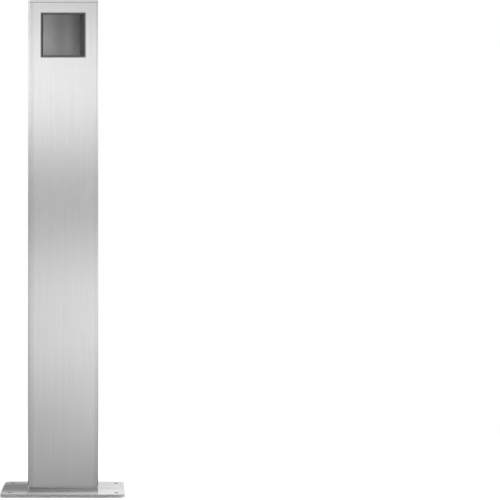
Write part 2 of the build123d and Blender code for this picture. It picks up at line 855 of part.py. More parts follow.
# Device box: closed at the back, with a flange that clamps the collar's ledge and bosses for its screws
def make_device_box():
    flange_half = window_size / 2 - box_flange_margin
    box = slab(RectangleRounded(2 * flange_half, 2 * flange_half, box_corner_radius), ledge_back, box_inside_front)
    box += slab(RectangleRounded(box_size, box_size, box_corner_radius), ledge_back, box_back)
    for x, z in corner_places():
        box += bar_y(boss_radius, ledge_back, ledge_back + boss_length, x, z)
    inner = box_size - 2 * box_wall
    cavity = RectangleRounded(inner, inner, box_corner_radius - box_wall)
    box -= slab(cavity, ledge_back - overrun, box_back - box_wall)
    for x, z in corner_places():
        box -= bar_y(m35_radius, ledge_back - overrun, ledge_back + boss_length - box_wall, x, z)
    hole = Pos(gland_x, gland_y) * Circle(cable_radius + gland_wall)
    return box - column(hole, box_low - overrun, box_low + box_wall + overrun)


# Rubber gland: a turned profile, gripping the box's wall, with a nose round the cable
def make_box_gland():
    bore = cable_radius + gland_bore_gap
    neck = cable_radius + gland_wall
    lip = neck + gland_lip
    wall_top = box_low + box_wall
    outline = Polyline(
        (bore, box_low - gland_nose), (neck - gland_lip, box_low - gland_nose),
        (neck, box_low - gland_lip_thickness), (lip, box_low - gland_lip_thickness), (lip, box_low),
        (neck, box_low), (neck, wall_top), (lip, wall_top), (lip - gland_lip / 2, wall_top + gland_lip_thickness),
        (bore, wall_top + gland_lip_thickness), close=True,
    )
    return Pos(gland_x, gland_y) * revolve(Plane.XZ * make_face(outline), Axis.Z)


# Riser cable: up the inside of the front in its clips, then across to the gland
def make_riser_cable():
    points = [
        (cable_x, cable_y, cable_low_end), (cable_x, cable_y, box_low - cable_bend_start),
        (gland_x, gland_y, box_low - cable_bend_end), (gland_x, gland_y, sheath_top),
    ]
    runs = [Vector(*points[i + 1]) - Vector(*points[i]) for i in range(3)]
    bend = 0.45 * runs[1].length / (runs[0].normalized().cross(runs[1].normalized()).length / 2)
    cable = tube(points, cable_radius, min(bend, 12 * cable_radius))
    print("riser cable: length about", round(sum(run.length for run in runs)), "bend radius", round(bend))
    return cable


def make_cable_clips():
    clips = []
    for i in range(clip_count):
        z = clip_first + i * clip_pitch
        outer = cable_radius + clip_wall
        body = Pos(cable_x, cable_y) * Circle(outer)
        neck_back = cable_y
        neck = Pos(cable_x, (front_inside + neck_back) / 2) * Rectangle(2 * outer, neck_back - front_inside)
        mouth = Pos(cable_x, cable_y + outer) * Rectangle(clip_mouth, 2 * outer)
        section = body + neck - mouth - Pos(cable_x, cable_y) * Circle(cable_radius + gland_bore_gap)
        clip = column(section, z - clip_height / 2, z + clip_height / 2)
        pad = slab(
            RectangleRounded(clip_pad_width, clip_pad_height, clip_pad_thickness), front_inside,
            front_inside + clip_pad_thickness, cable_x, z,
        )
        clips.append(clip + (pad - column(Pos(cable_x, cable_y) * Circle(cable_radius + gland_bore_gap),
                                          z - clip_pad_height, z + clip_pad_height)))
    return group(clips)


# Offsets of the three cores inside the cable
def core_offsets():
    angles = [pi / 2 + i * 2 * pi / 3 for i in range(3)]
    return [(core_circle * cos(angle), core_circle * sin(angle)) for angle in angles]


# Leads from the cable's top end to the two contacts and the earth bow
def make_socket_leads():
    rear = contact_depths()[2]
    bow_rear = cavity_floor + bow_sheet / 2 + clamp_length
    left = contact_lead(-1)
    right = contact_lead(1)
    ends = [
        (right[0], rear - lead_depth, right[1]), (left[0], rear - lead_depth, left[1]),
        (0, bow_rear - lead_depth, window_z - earth_clamp_drop),
    ]
    behind = (base_back + box_back - box_wall) / 2
    bend = (behind - base_back)
    leads = []
    for (dx, dy), (x, y, z) in zip(core_offsets(), ends):
        start = (gland_x + dx, gland_y + dy, sheath_top)
        points = [start, (start[0], start[1], sheath_top + bend), (x, behind, z - bend), (x, behind, z), (x, y, z)]
        leads.append(tube(points, lead_radius, [bend / 2, bend / 2, bend - thread_gap]))
    return group(leads)


# Bracket: a hat-shaped strip welded inside the front, which carries the supply terminals
def make_terminal_bracket():
    half = bracket_width / 2
    foot_y = front_inside + bracket_sheet / 2
    top_y = bracket_back - bracket_sheet / 2
    points = [
        (-half - bracket_foot, foot_y), (-half, foot_y), (-half, top_y),
        (half, top_y), (half, foot_y), (half + bracket_foot, foot_y),
    ]
    strip = trace(FilletPolyline(*points, radius=bracket_bend), bracket_sheet)
    bracket = column(strip, terminal_z - bracket_height / 2, terminal_z + bracket_height / 2)
    for x in block_screw_places():
        bracket -= bar_y(m3_radius, bracket_back - bracket_sheet - overrun, bracket_back + overrun, x, terminal_z)
    return bracket


def block_screw_places():
    return [side * pole_pitch / 2 for side in (-1, 1)]


def pole_places():
    return [i * pole_pitch for i in (-1, 0, 1)]


# Terminal body: a moulded block with a tunnel for each pole and wells for the screws
def make_terminal_body():
    low, high = -terminal_height / 2, terminal_height / 2
    outline = Polyline(
        (0, low), (terminal_depth - terminal_shoulder, low), (terminal_depth, low + terminal_shoulder),
        (terminal_depth, high - terminal_shoulder), (terminal_depth - terminal_shoulder, high), (0, high), close=True,
    )
    plane = Plane(origin=(-terminal_width / 2, bracket_back, terminal_z), x_dir=(0, 1, 0), z_dir=(1, 0, 0))
    body = extrude(plane * make_face(outline), amount=terminal_width)
    tunnel = rod_width / 2 + tunnel_gap
    for x in pole_places():
        body -= block(x - tunnel, x + tunnel, rod_y - tunnel, rod_y + tunnel, terminal_z + low - overrun,
                      terminal_z + high + overrun)
        for z in pole_screw_heights():
            body -= bar_y(m3_radius + 2 * screw_clearance, rod_y, bracket_back + terminal_depth + overrun, x, z)
    head_y = bracket_back + block_screw_sink
    for x in block_screw_places():
        body -= bar_y(m3_radius + screw_clearance, bracket_back - overrun, head_y + overrun, x, terminal_z)
        body -= bar_y(block_screw_head_radius + screw_clearance, head_y, bracket_back + terminal_depth + overrun, x,
                      terminal_z)
    return body


def pole_screw_heights():
    return [terminal_z + side * pole_screw_offset for side in (-1, 1)]


def make_terminal_clamps():
    rods = []
    half = rod_width / 2
    for x in pole_places():
        rod = block(x - half, x + half, rod_y - half, rod_y + half, terminal_z - rod_length / 2,
                    terminal_z + rod_length / 2)
        rod -= Pos(x, rod_y, terminal_z) * Cylinder(rod_bore, rod_length + overrun)
        for z in pole_screw_heights():
            rod -= bar_y(m3_radius, rod_y, rod_y + half + overrun, x, z)
        rods.append(rod)
    return group(rods)


def make_clamp_screws():
    start = rod_y + bond_radius + lead_gap
    places = [(x, z) for x in pole_places() for z in pole_screw_heights()]
    return group([bar_y(m3_radius - thread_gap, start, start + pole_screw_length, x, z) for x, z in places])


def make_block_screws():
    head_y = bracket_back + block_screw_sink
    tip_y = bracket_back - bracket_sheet - block_screw_tip
    screws = []
    for x in block_screw_places():
        screw = bar_y(m3_radius - thread_gap, tip_y, head_y, x, terminal_z)
        screws.append(screw + bar_y(block_screw_head_radius, head_y, head_y + block_screw_head, x, terminal_z))
    return group(screws)


# Leads from the cable's lower end into the tops of the three poles
def make_terminal_leads():
    leads = []
    top = terminal_z + terminal_height / 2
    for (dx, dy), x in zip(sorted(core_offsets()), pole_places()):
        start = (cable_x + dx, cable_y + dy, cable_low_end)
        points = [
            start, (start[0], start[1], cable_low_end - lead_rise), (x, rod_y, top + lead_rise),
            (x, rod_y, top - lead_entry),
        ]
        leads.append(tube(points, lead_radius, lead_rise / 2))
    return group(leads)


def make_earth_stud():
    return bar_y(stud_radius, bracket_back, bracket_back + stud_length, stud_x, terminal_z)


# Depths of the stack on the stud: two washers with the lug between them, then the nut
def stud_stack():
    first = bracket_back
    lug = first + washer_thickness
    second = lug + lug_sheet
    return first, lug, second, second + washer_thickness


def make_earth_washers():
    first, _, second, _ = stud_stack()
    ring = Circle(washer_radius) - Circle(stud_radius + washer_gap)
    return group([slab(ring, y, y + washer_thickness, stud_x, terminal_z) for y in (first, second)])


def make_earth_nut():
    start = stud_stack()[3]
    outline = RegularPolygon(nut_flats / 2, 6, major_radius=False) - Circle(stud_radius + thread_gap)
    return slab(outline, start, start + nut_height, stud_x, terminal_z)


# Bond lead: a ring lug on the stud and the lead from it round to the earth pole
def make_bond_lug():
    lug_y = stud_stack()[1]
    tail_z = terminal_z - lug_radius - lug_tail / 2
    plate = slab(Circle(lug_radius), lug_y, lug_y + lug_sheet, stud_x, terminal_z)
    plate += slab(
        Rectangle(2 * lug_barrel_radius, lug_tail + lug_radius), lug_y, lug_y + lug_sheet, stud_x,
        tail_z + lug_radius / 2,
    )
    plate -= bar_y(stud_radius + washer_gap, lug_y - overrun, lug_y + overrun, stud_x, terminal_z)
    end = terminal_z - lug_radius - lug_tail
    barrel = Pos(stud_x, lug_y + lug_sheet / 2) * Circle(lug_barrel_radius)
    return plate + column(barrel, end - lug_barrel_length, end + lug_sheet)


def make_bond_lead():
    lug_y = stud_stack()[1] + lug_sheet / 2
    top = terminal_z - lug_radius - lug_tail - lug_barrel_length
    low = terminal_z - bond_drop
    x = pole_places()[-1]
    points = [(stud_x, lug_y, top), (stud_x, lug_y, low), (x, rod_y, low),
              (x, rod_y, terminal_z - terminal_height / 2 + lead_entry)]
    return tube(points, bond_radius, bond_bend)


pieces = {
    "base_plate": make_base_plate(),
    "cable_grommet": make_cable_grommet(),
    "base_weld": make_base_weld(),
    "column_shell": make_column_shell(),
    "rear_panel": make_rear_panel(),
    "panel_seals": make_panel_seals(),
    "rear_panel_screws": make_rear_panel_screws(),
    "rivet_nuts": make_rivet_nuts(),
    "top_cap": make_top_cap(),
    "cap_seal": make_cap_seal(),
    "cap_screws": make_cap_screws(),
    "window_collar": make_window_collar(),
    "frame_gasket": make_frame_gasket(),
    "insert_frame": make_insert_frame(),
    "frame_screws": make_frame_screws(),
    "cover_lid": make_cover_lid(),
    "lid_seal": make_lid_seal(),
    "hinge_pin": make_hinge_pin(),
    "hinge_spring": make_hinge_spring(),
    "socket_face": make_socket_face(),
    "face_screw": make_face_screw(),
    "earth_bow": make_earth_bow(),
    "support_ring": make_support_ring(),
    "ring_screws": make_ring_screws(),
    "socket_base": make_socket_base(),
    "live_contact": make_contact(-1),
    "neutral_contact": make_contact(1),
    "contact_screws": make_contact_screws(),
    "device_box": make_device_box(),
    "box_gland": make_box_gland(),
    "riser_cable": make_riser_cable(),
    "cable_clips": make_cable_clips(),
    "socket_leads": make_socket_leads(),
    "terminal_bracket": make_terminal_bracket(),
    "terminal_body": make_terminal_body(),
    "terminal_clamps": make_terminal_clamps(),
    "clamp_screws": make_clamp_screws(),
    "block_screws": make_block_screws(),
    "terminal_leads": make_terminal_leads(),
    "earth_stud": make_earth_stud(),
    "earth_washers": make_earth_washers(),
    "earth_nut": make_earth_nut(),
    "bond_lug": make_bond_lug(),
    "bond_lead": make_bond_lead(),
}

for name, piece in pieces.items():
    export_step(piece, f"parts/{name}.step")
print(len(pieces), "parts written")
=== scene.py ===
import math
import bpy
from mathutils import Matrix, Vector


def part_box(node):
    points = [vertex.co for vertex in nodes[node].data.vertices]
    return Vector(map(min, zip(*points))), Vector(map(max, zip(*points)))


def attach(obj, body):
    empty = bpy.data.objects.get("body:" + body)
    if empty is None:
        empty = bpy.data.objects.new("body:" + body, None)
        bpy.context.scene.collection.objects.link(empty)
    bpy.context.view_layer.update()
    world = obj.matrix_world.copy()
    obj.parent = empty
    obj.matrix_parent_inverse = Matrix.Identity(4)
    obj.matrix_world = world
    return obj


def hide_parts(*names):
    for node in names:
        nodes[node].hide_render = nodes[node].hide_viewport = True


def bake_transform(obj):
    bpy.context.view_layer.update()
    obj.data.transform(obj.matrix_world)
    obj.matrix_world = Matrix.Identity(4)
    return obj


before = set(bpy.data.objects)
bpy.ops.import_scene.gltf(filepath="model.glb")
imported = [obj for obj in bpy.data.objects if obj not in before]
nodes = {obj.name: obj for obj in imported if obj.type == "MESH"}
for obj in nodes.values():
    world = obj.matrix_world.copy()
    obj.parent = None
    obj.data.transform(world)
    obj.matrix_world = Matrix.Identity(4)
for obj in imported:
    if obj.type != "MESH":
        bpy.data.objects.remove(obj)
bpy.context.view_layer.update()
scene = bpy.context.scene
print("frame loaded with", len(nodes), "nodes")


# small helpers for node trees
def addNode(tree, kind, values=None, **settings):
    node = tree.nodes.new(kind)
    for name, value in settings.items():
        setattr(node, name, value)
    for socket, value in (values or {}).items():
        if isinstance(value, bpy.types.NodeSocket):
            tree.links.new(value, node.inputs[socket])
        else:
            node.inputs[socket].default_value = value
    return node


def calc(tree, operation, first, second=0.0, third=0.0, clamp=False):
    values = {0: first, 1: second, 2: third}
    return addNode(tree, "ShaderNodeMath", values, operation=operation, use_clamp=clamp).outputs[0]


def times(tree, first, *others):
    for other in others:
        first = calc(tree, "MULTIPLY", first, other)
    return first


# a level that sways round its base with a noise
def sway(tree, noise, amount, base):
    return calc(tree, "MULTIPLY_ADD", calc(tree, "SUBTRACT", noise, 0.5), amount, base)


def vectorCalc(tree, operation, first, second, output="Vector"):
    return addNode(tree, "ShaderNodeVectorMath", {0: first, 1: second}, operation=operation).outputs[output]


def partsOf(tree, vector):
    return addNode(tree, "ShaderNodeSeparateXYZ", {0: vector}).outputs


def remap(tree, value, fromLow, fromHigh, toLow, toHigh, style="SMOOTHSTEP"):
    values = {"Value": value, "From Min": fromLow, "From Max": fromHigh, "To Min": toLow, "To Max": toHigh}
    return addNode(tree, "ShaderNodeMapRange", values, interpolation_type=style).outputs["Result"]


def mixColour(tree, factor, first, second, blend="MIX"):
    node = addNode(tree, "ShaderNodeMix", {0: factor, 6: first, 7: second}, data_type="RGBA",
                   blend_type=blend, clamp_factor=True)
    return node.outputs[2]


# a colour times a level that changes over the surface
def scaleColour(tree, colour, level):
    grey = addNode(tree, "ShaderNodeCombineXYZ", {0: level, 1: level, 2: level}).outputs[0]
    return mixColour(tree, 1.0, colour, grey, "MULTIPLY")


# a grey ramp over a value, from a list of (value, level) stops
def levelRamp(tree, value, stops, style="CARDINAL"):
    low, high = stops[0][0], stops[-1][0]
    peak = max(level for at, level in stops)
    place = remap(tree, value, low, high, 0.0, 1.0, "LINEAR")
    ramp = addNode(tree, "ShaderNodeValToRGB", {"Fac": place})
    ramp.color_ramp.interpolation = style
    elements = ramp.color_ramp.elements
    elements.remove(elements[1])
    for index, (at, level) in enumerate(stops):
        share = (at - low) / (high - low)
        element = elements[0] if index == 0 else elements.new(share)
        element.position = share
        element.color = (level / peak, level / peak, level / peak, 1.0)
    return vectorCalc(tree, "MULTIPLY", ramp.outputs["Color"], (peak, peak, peak))


def newGroup(name, inputs, outputs):
    group = bpy.data.node_groups.new(name, "ShaderNodeTree")
    kinds = {"value": "NodeSocketFloat", "vector": "NodeSocketVector"}
    for label, (kind, value) in inputs.items():
        socket = group.interface.new_socket(name=label, in_out="INPUT", socket_type=kinds[kind])
        socket.default_value = value
    for label, kind in outputs.items():
        group.interface.new_socket(name=label, in_out="OUTPUT", socket_type=kinds[kind])
    return group, group.nodes.new("NodeGroupInput").outputs, group.nodes.new("NodeGroupOutput").inputs


def useGroup(tree, group, values):
    return addNode(tree, "ShaderNodeGroup", values, node_tree=group).outputs


def emptyTree(owner):
    owner.use_nodes = True
    owner.node_tree.nodes.clear()
    return owner.node_tree


def startMaterial(name):
    material = bpy.data.materials.new(name)
    tree = emptyTree(material)
    shader = tree.nodes.new("ShaderNodeBsdfPrincipled")
    output = tree.nodes.new("ShaderNodeOutputMaterial")
    tree.links.new(shader.outputs["BSDF"], output.inputs["Surface"])
    place = tree.nodes.new("ShaderNodeTexCoord").outputs["Object"]
    return material, tree, shader, place


def shade(value, tint=(1.0, 1.0, 1.0)):
    return (value * tint[0], value * tint[1], value * tint[2], 1.0)


# effects that several finishes share
def makeBrushedGrain():
    inputs = {"Vector": ("vector", (0, 0, 0)), "Fineness": ("vector", (2500, 2500, 20))}
    outputs = {"Grain": "value", "Streak": "value", "Hairline": "value"}
    group, given, put = newGroup("brushedGrain", inputs, outputs)
    scaled = vectorCalc(group, "MULTIPLY", given["Vector"], given["Fineness"])
    fine = addNode(group, "ShaderNodeTexNoise", {"Vector": scaled, "Scale": 1.0, "Detail": 4.0,
                                                "Roughness": 0.65})
    broadPlace = vectorCalc(group, "MULTIPLY", scaled, (0.11, 0.11, 0.35))
    broad = addNode(group, "ShaderNodeTexNoise", {"Vector": broadPlace, "Scale": 1.0, "Detail": 3.0})
    linePlace = vectorCalc(group, "MULTIPLY", scaled, (0.55, 0.55, 0.8))
    lines = addNode(group, "ShaderNodeTexNoise", {"Vector": linePlace, "Scale": 1.0, "Detail": 1.0})
    group.links.new(fine.outputs["Fac"], put["Grain"])
    group.links.new(broad.outputs["Fac"], put["Streak"])
    group.links.new(remap(group, lines.outputs["Fac"], 0.62, 0.78, 0.0, 1.0), put["Hairline"])
    return group


def makeToneDrift():
    inputs = {"Vector": ("vector", (0, 0, 0)), "Size": ("value", 0.1)}
    group, given, put = newGroup("toneDrift", inputs, {"Cloud": "value", "Smudge": "value"})
    scale = calc(group, "DIVIDE", 1.0, given["Size"])
    cloud = addNode(group, "ShaderNodeTexNoise", {"Vector": given["Vector"], "Scale": scale, "Detail": 2.0})
    smudge = addNode(group, "ShaderNodeTexNoise", {
        "Vector": given["Vector"], "Scale": times(group, scale, 4.3), "Detail": 5.0, "Distortion": 0.6})
    group.links.new(cloud.outputs["Fac"], put["Cloud"])
    group.links.new(remap(group, smudge.outputs["Fac"], 0.5, 0.75, 0.0, 1.0), put["Smudge"])
    return group


def makeEdgeWear():
    inputs = {"Radius": ("value", 0.0004), "Amount": ("value", 0.5), "Vector": ("vector", (0, 0, 0))}
    group, given, put = newGroup("edgeWear", inputs, {"Edge": "value", "Normal": "vector"})
    bevel = addNode(group, "ShaderNodeBevel", {"Radius": given["Radius"]}, samples=4)
    flat = group.nodes.new("ShaderNodeNewGeometry").outputs["Normal"]
    facing = vectorCalc(group, "DOT_PRODUCT", bevel.outputs["Normal"], flat, "Value")
    edge = remap(group, facing, 0.995, 0.80, 0.0, 1.0)
    rubAndLight = addNode(group, "ShaderNodeTexNoise", {"Vector": given["Vector"], "Scale": 260.0, "Detail": 4.0})
    worn = times(group, edge, remap(group, rubAndLight.outputs["Fac"], 0.3, 0.6, 0.25, 1.0), given["Amount"])
    group.links.new(worn, put["Edge"])
    group.links.new(bevel.outputs["Normal"], put["Normal"])
    return group


def makeSettledDust():
    inputs = {"Vector": ("vector", (0, 0, 0)), "Amount": ("value", 0.3)}
    group, given, put = newGroup("settledDust", inputs, {"Dust": "value"})
    normal = group.nodes.new("ShaderNodeNewGeometry").outputs["Normal"]
    lying = remap(group, partsOf(group, normal)["Z"], 0.2, 0.95, 0.12, 1.0)
    vector = given["Vector"]
    specks = addNode(group, "ShaderNodeTexNoise", {"Vector": vector, "Scale": 900.0, "Detail": 3.0})
    cloud = addNode(group, "ShaderNodeTexNoise", {"Vector": vector, "Scale": 28.0, "Detail": 4.0})
    mask = times(group, remap(group, specks.outputs["Fac"], 0.45, 0.7, 0.3, 1.0),
                 remap(group, cloud.outputs["Fac"], 0.35, 0.7, 0.2, 1.0), lying, given["Amount"])
    group.links.new(mask, put["Dust"])
    return group


def makeMouldedSkin():
    inputs = {"Vector": ("vector", (0, 0, 0)), "Pitch": ("value", 0.0003)}
    group, given, put = newGroup("mouldedSkin", inputs, {"Height": "value", "Sheen": "value"})
    scale = calc(group, "DIVIDE", 1.0, given["Pitch"])
    cells = addNode(group, "ShaderNodeTexVoronoi", {"Vector": given["Vector"], "Scale": scale},
                    feature="SMOOTH_F1")
    grain = addNode(group, "ShaderNodeTexNoise", {"Vector": given["Vector"], "Scale": scale, "Detail": 3.0})
    height = calc(group, "ADD", cells.outputs["Distance"], times(group, grain.outputs["Fac"], 0.8))
    flow = addNode(group, "ShaderNodeTexNoise", {"Vector": given["Vector"], "Scale": 45.0, "Detail": 2.0})
    group.links.new(height, put["Height"])
    group.links.new(flow.outputs["Fac"], put["Sheen"])
    return group


# 1 in holes, grooves and inner corners of a piece, 0 on its open faces, found by ambient occlusion; where
# it is 1 the finish is darkened as painted shade, and moulded finishes are also roughened there as grime
def makeRecessGrimeAndShade():
    inputs = {"Amount": ("value", 0.5), "Open": ("value", 0.95), "Closed": ("value", 0.7)}
    group, given, put = newGroup("recessGrimeAndShade", inputs, {"Filled": "value"})
    openness = addNode(group, "ShaderNodeAmbientOcclusion", {"Distance": 0.006}, samples=4, only_local=True)
    filled = remap(group, openness.outputs["AO"], given["Closed"], given["Open"], 1.0, 0.0)
    group.links.new(times(group, filled, given["Amount"]), put["Filled"])
    return group


brushedGrain = makeBrushedGrain()
toneDrift = makeToneDrift()
edgeWear = makeEdgeWear()
settledDust = makeSettledDust()
mouldedSkin = makeMouldedSkin()
recessGrimeAndShade = makeRecessGrimeAndShade()
print("shader groups built")


# how far the column's edges are drawn rounded: much at the left front fold between foot and cap, little
# elsewhere
def foldRadius(tree, place, folds):
    x, y, z = partsOf(tree, place)
    soft = remap(tree, times(tree, x, -1.0), folds["start"], folds["end"], 0.0, folds["round"], "LINEAR")
    soft = times(tree, soft, remap(tree, y, *folds["roundDepth"], 1.0, 0.0),
                 remap(tree, z, *folds["aboveFoot"], 0.0, 1.0))
    return calc(tree, "MULTIPLY_ADD", soft, remap(tree, z, *folds["belowCap"], 1.0, 0.0), folds["sharp"])


# painted shade on the column's front at its folds: darker at the left, in two steps darker down the right,
# darker still at the foot corners
def foldShade(tree, place, folds):
    x, y, z = partsOf(tree, place)
    atFront = remap(tree, y, *folds["frontDepth"], 1.0, 0.0)
    tone = remap(tree, times(tree, x, -1.0), folds["start"], folds["end"], 1.0, folds["leftShade"])
    right = times(tree, remap(tree, x, *folds["right"], 0.0, 1.0), atFront)
    for heights in folds["rightBelow"]:
        here = times(tree, remap(tree, z, *heights, 1.0, 0.0), right)
        tone = times(tree, tone, remap(tree, here, 0.0, 1.0, 1.0, folds["rightShade"]))
    cornerShaded = times(tree, remap(tree, calc(tree, "ABSOLUTE", x), *folds["footCorner"], 0.0, 1.0),
                   remap(tree, z, *folds["footHeight"], 1.0, 0.0), atFront)
    return times(tree, tone, remap(tree, cornerShaded, 0.0, 1.0, 1.0, folds["footCornerShade"]))


# a slanting, ragged band of painted shade along the column's foot, just above the weld
def footBandShade(tree, place, streak, band):
    x, y, z = partsOf(tree, place)
    height = calc(tree, "MULTIPLY_ADD", x, band["slant"], z)
    ragged = sway(tree, streak, band["ragged"], height)
    strength = remap(tree, x, -band["half"], band["half"], band["left"], band["right"], "LINEAR")
    return times(tree, remap(tree, ragged, band["low"], band["high"], 1.0, 0.0), strength)


# painted light: the foot plate's top is brighter along its front strip, more so out beside the column
def litStripTop(tree, place, surface, rubAndLight):
    x, y, z = partsOf(tree, place)
    strip = times(tree, remap(tree, y, *rubAndLight["rise"], 0.0, 1.0), remap(tree, y, *rubAndLight["fall"], 1.0, 0.0))
    beside = calc(tree, "ADD", remap(tree, x, *rubAndLight["leftEnd"], rubAndLight["left"], 0.0),
                  remap(tree, x, *rubAndLight["rightEnd"], 0.0, rubAndLight["right"]))
    return scaleColour(tree, surface, calc(tree, "MULTIPLY_ADD", strip, beside, 1.0))


# its upright faces are cut, not brushed: darker, with fine upright lines; the darkening grows towards the
# top and takes in the top chamfer, and that part is painted shade
def cutAndShadedFaces(tree, place, surface, colour, cutAndShade):
    normal = partsOf(tree, tree.nodes.new("ShaderNodeNewGeometry").outputs["Normal"])
    height = remap(tree, partsOf(tree, place)["Z"], cutAndShade["foot"], cutAndShade["top"], 0.0, 1.0, "LINEAR")
    upright = times(tree, remap(tree, calc(tree, "ABSOLUTE", normal["Z"]), *cutAndShade["lean"], 1.0, 0.0), height)
    lines = addNode(tree, "ShaderNodeTexNoise", {
        "Vector": vectorCalc(tree, "MULTIPLY", place, cutAndShade["fineness"]), "Scale": 1.0, "Detail": 2.0})
    tone = mixColour(tree, lines.outputs["Fac"], cutAndShade["dark"], cutAndShade["pale"])
    return mixColour(tree, upright, surface, mixColour(tree, 1.0, colour, tone, "MULTIPLY"))


metalBasics = {"cloudSize": 0.12, "rounding": 0.0004, "wornGain": 1.18, "grainDepth": 0.00001,
               "grimeShadeTone": shade(0.08), "recessOpen": 0.8, "recessClosed": 0.5,
               "dustTone": (0.55, 0.53, 0.49, 1.0), "dustRough": 0.5}


# a metal with a brushed, rolled or turned grain; the settings are the finish
def metal(name, colour, fineness, roughness, spread=0.06, stretch=0.0, lay=None, contrast=0.08, drift=0.05,
          bump=0.25, edge=0.4, dust=0.0, tarnish=None, shadedFootBand=None, folds=None, rubAndLight=None, cutAndShade=None,
          satin=1.0, grimeAndShade=0.0):
    material, tree, shader, place = startMaterial(name)
    grain = useGroup(tree, brushedGrain, {"Vector": place, "Fineness": fineness})
    clouds = useGroup(tree, toneDrift, {"Vector": place, "Size": metalBasics["cloudSize"]})
    rounding = foldRadius(tree, place, folds) if folds else metalBasics["rounding"]
    wear = useGroup(tree, edgeWear, {"Radius": rounding, "Amount": edge, "Vector": place})
    tone = sway(tree, grain["Grain"], contrast, 1.0)
    tone = sway(tree, grain["Streak"], contrast * 0.8, tone)
    tone = sway(tree, clouds["Cloud"], drift, tone)
    tone = calc(tree, "MULTIPLY_ADD", grain["Hairline"], contrast * 0.5, tone)
    surface = scaleColour(tree, colour, tone)
    if folds:
        # painted shade along the column's folds
        surface = scaleColour(tree, surface, foldShade(tree, place, folds))
    if tarnish:
        surface = mixColour(tree, times(tree, clouds["Smudge"], tarnish[1]), surface, tarnish[0])
    # painted shade: a dark band along the column's foot
    if shadedFootBand:
        shadedShare = footBandShade(tree, place, grain["Streak"], shadedFootBand)
        surface = mixColour(tree, shadedShare, surface, shadedFootBand["colour"])
    # painted light on the plate's front strip
    if rubAndLight:
        surface = litStripTop(tree, place, surface, rubAndLight)
    # cut faces, with painted shade towards the top and on the chamfer
    if cutAndShade:
        surface = cutAndShadedFaces(tree, place, surface, colour, cutAndShade)
    surface = mixColour(tree, wear["Edge"], surface, shade(min(1.0, colour[0] * metalBasics["wornGain"])))
    # painted shade in holes and recesses
    if grimeAndShade:
        filled = useGroup(tree, recessGrimeAndShade, {"Amount": grimeAndShade, "Open": metalBasics["recessOpen"],
                                              "Closed": metalBasics["recessClosed"]})["Filled"]
        surface = mixColour(tree, filled, surface, metalBasics["grimeShadeTone"])
    rough = sway(tree, grain["Grain"], spread, roughness)
    rough = calc(tree, "MULTIPLY_ADD", clouds["Smudge"], spread * 0.6, rough)
    shader.inputs["Metallic"].default_value = satin
    if dust:
        mask = useGroup(tree, settledDust, {"Vector": place, "Amount": dust})["Dust"]
        surface = mixColour(tree, mask, surface, metalBasics["dustTone"])
        rough = calc(tree, "MULTIPLY_ADD", mask, metalBasics["dustRough"], rough)
        tree.links.new(calc(tree, "SUBTRACT", satin, mask, clamp=True), shader.inputs["Metallic"])
    tree.links.new(surface, shader.inputs["Base Color"])
    tree.links.new(rough, shader.inputs["Roughness"])
    relief = addNode(tree, "ShaderNodeBump", {
        "Height": grain["Grain"], "Distance": metalBasics["grainDepth"], "Strength": bump,
        "Normal": wear["Normal"]})
    tree.links.new(relief.outputs["Normal"], shader.inputs["Normal"])
    shader.inputs["Anisotropic"].default_value = stretch
    if lay:
        layNode = addNode(tree, "ShaderNodeCombineXYZ", {0: lay[0], 1: lay[1], 2: lay[2]})
        tree.links.new(layNode.outputs[0], shader.inputs["Tangent"])
    return material


# painted shade in the lid's finger groove: darker from its middle to its far wall
def grooveShade(tree, place, surface, groove):
    side = partsOf(tree, place)["X"]
    inside = times(tree, remap(tree, side, groove["start"], groove["middle"], 0.0, 1.0),
                   remap(tree, side, groove["wall"], groove["lip"], 1.0, groove["onLip"]), groove["amount"])
    return mixColour(tree, inside, surface, groove["tone"])


# the lid's wrapped edge is drawn flatter than a plain quarter round
def wrappedNormal(tree, place, normal, wrap):
    x, y, z = partsOf(tree, place)
    share = times(tree, remap(tree, x, wrap["edge"], wrap["start"], wrap["share"], 0.0),
                  remap(tree, y, wrap["front"], wrap["back"], 1.0, 0.0))
    facing = addNode(tree, "ShaderNodeVectorTransform", {0: (0.0, -1.0, 0.0)}, vector_type="VECTOR",
                     convert_from="OBJECT", convert_to="WORLD").outputs[0]
    kept = calc(tree, "SUBTRACT", 1.0, share)
    own = addNode(tree, "ShaderNodeVectorMath", {0: normal, "Scale": kept}, operation="SCALE").outputs[0]
    added = addNode(tree, "ShaderNodeVectorMath", {0: facing, "Scale": share}, operation="SCALE").outputs[0]
    return vectorCalc(tree, "NORMALIZE", vectorCalc(tree, "ADD", own, added), (0, 0, 0))


# a glossy plate that bulges a little, as moulded plates do
def crownedNormal(tree, place, normal, crown):
    parts = partsOf(tree, vectorCalc(tree, "SUBTRACT", place, crown["centre"]))
    across = times(tree, calc(tree, "POWER", parts["X"], 2.0), crown["across"])
    upright = times(tree, calc(tree, "POWER", parts["Z"], 2.0), crown["upright"])
    bulge = times(tree, calc(tree, "ADD", across, upright), -1.0)
    bump = addNode(tree, "ShaderNodeBump", {
        "Height": bulge, "Distance": 1.0, "Strength": 1.0, "Normal": normal})
    return bump.outputs["Normal"]


mouldedBasics = {"cloudSize": 0.05, "rounding": 0.0003, "wornGain": 1.5, "wornLift": 0.02, "smudge": 0.06,
                 "skinDepth": 0.00003, "grimeShadeTone": shade(0.03), "recessOpen": 0.97, "recessClosed": 0.72,
                 "grimeRough": 0.3, "dustTone": (0.45, 0.43, 0.39, 1.0), "dustRough": 0.3}


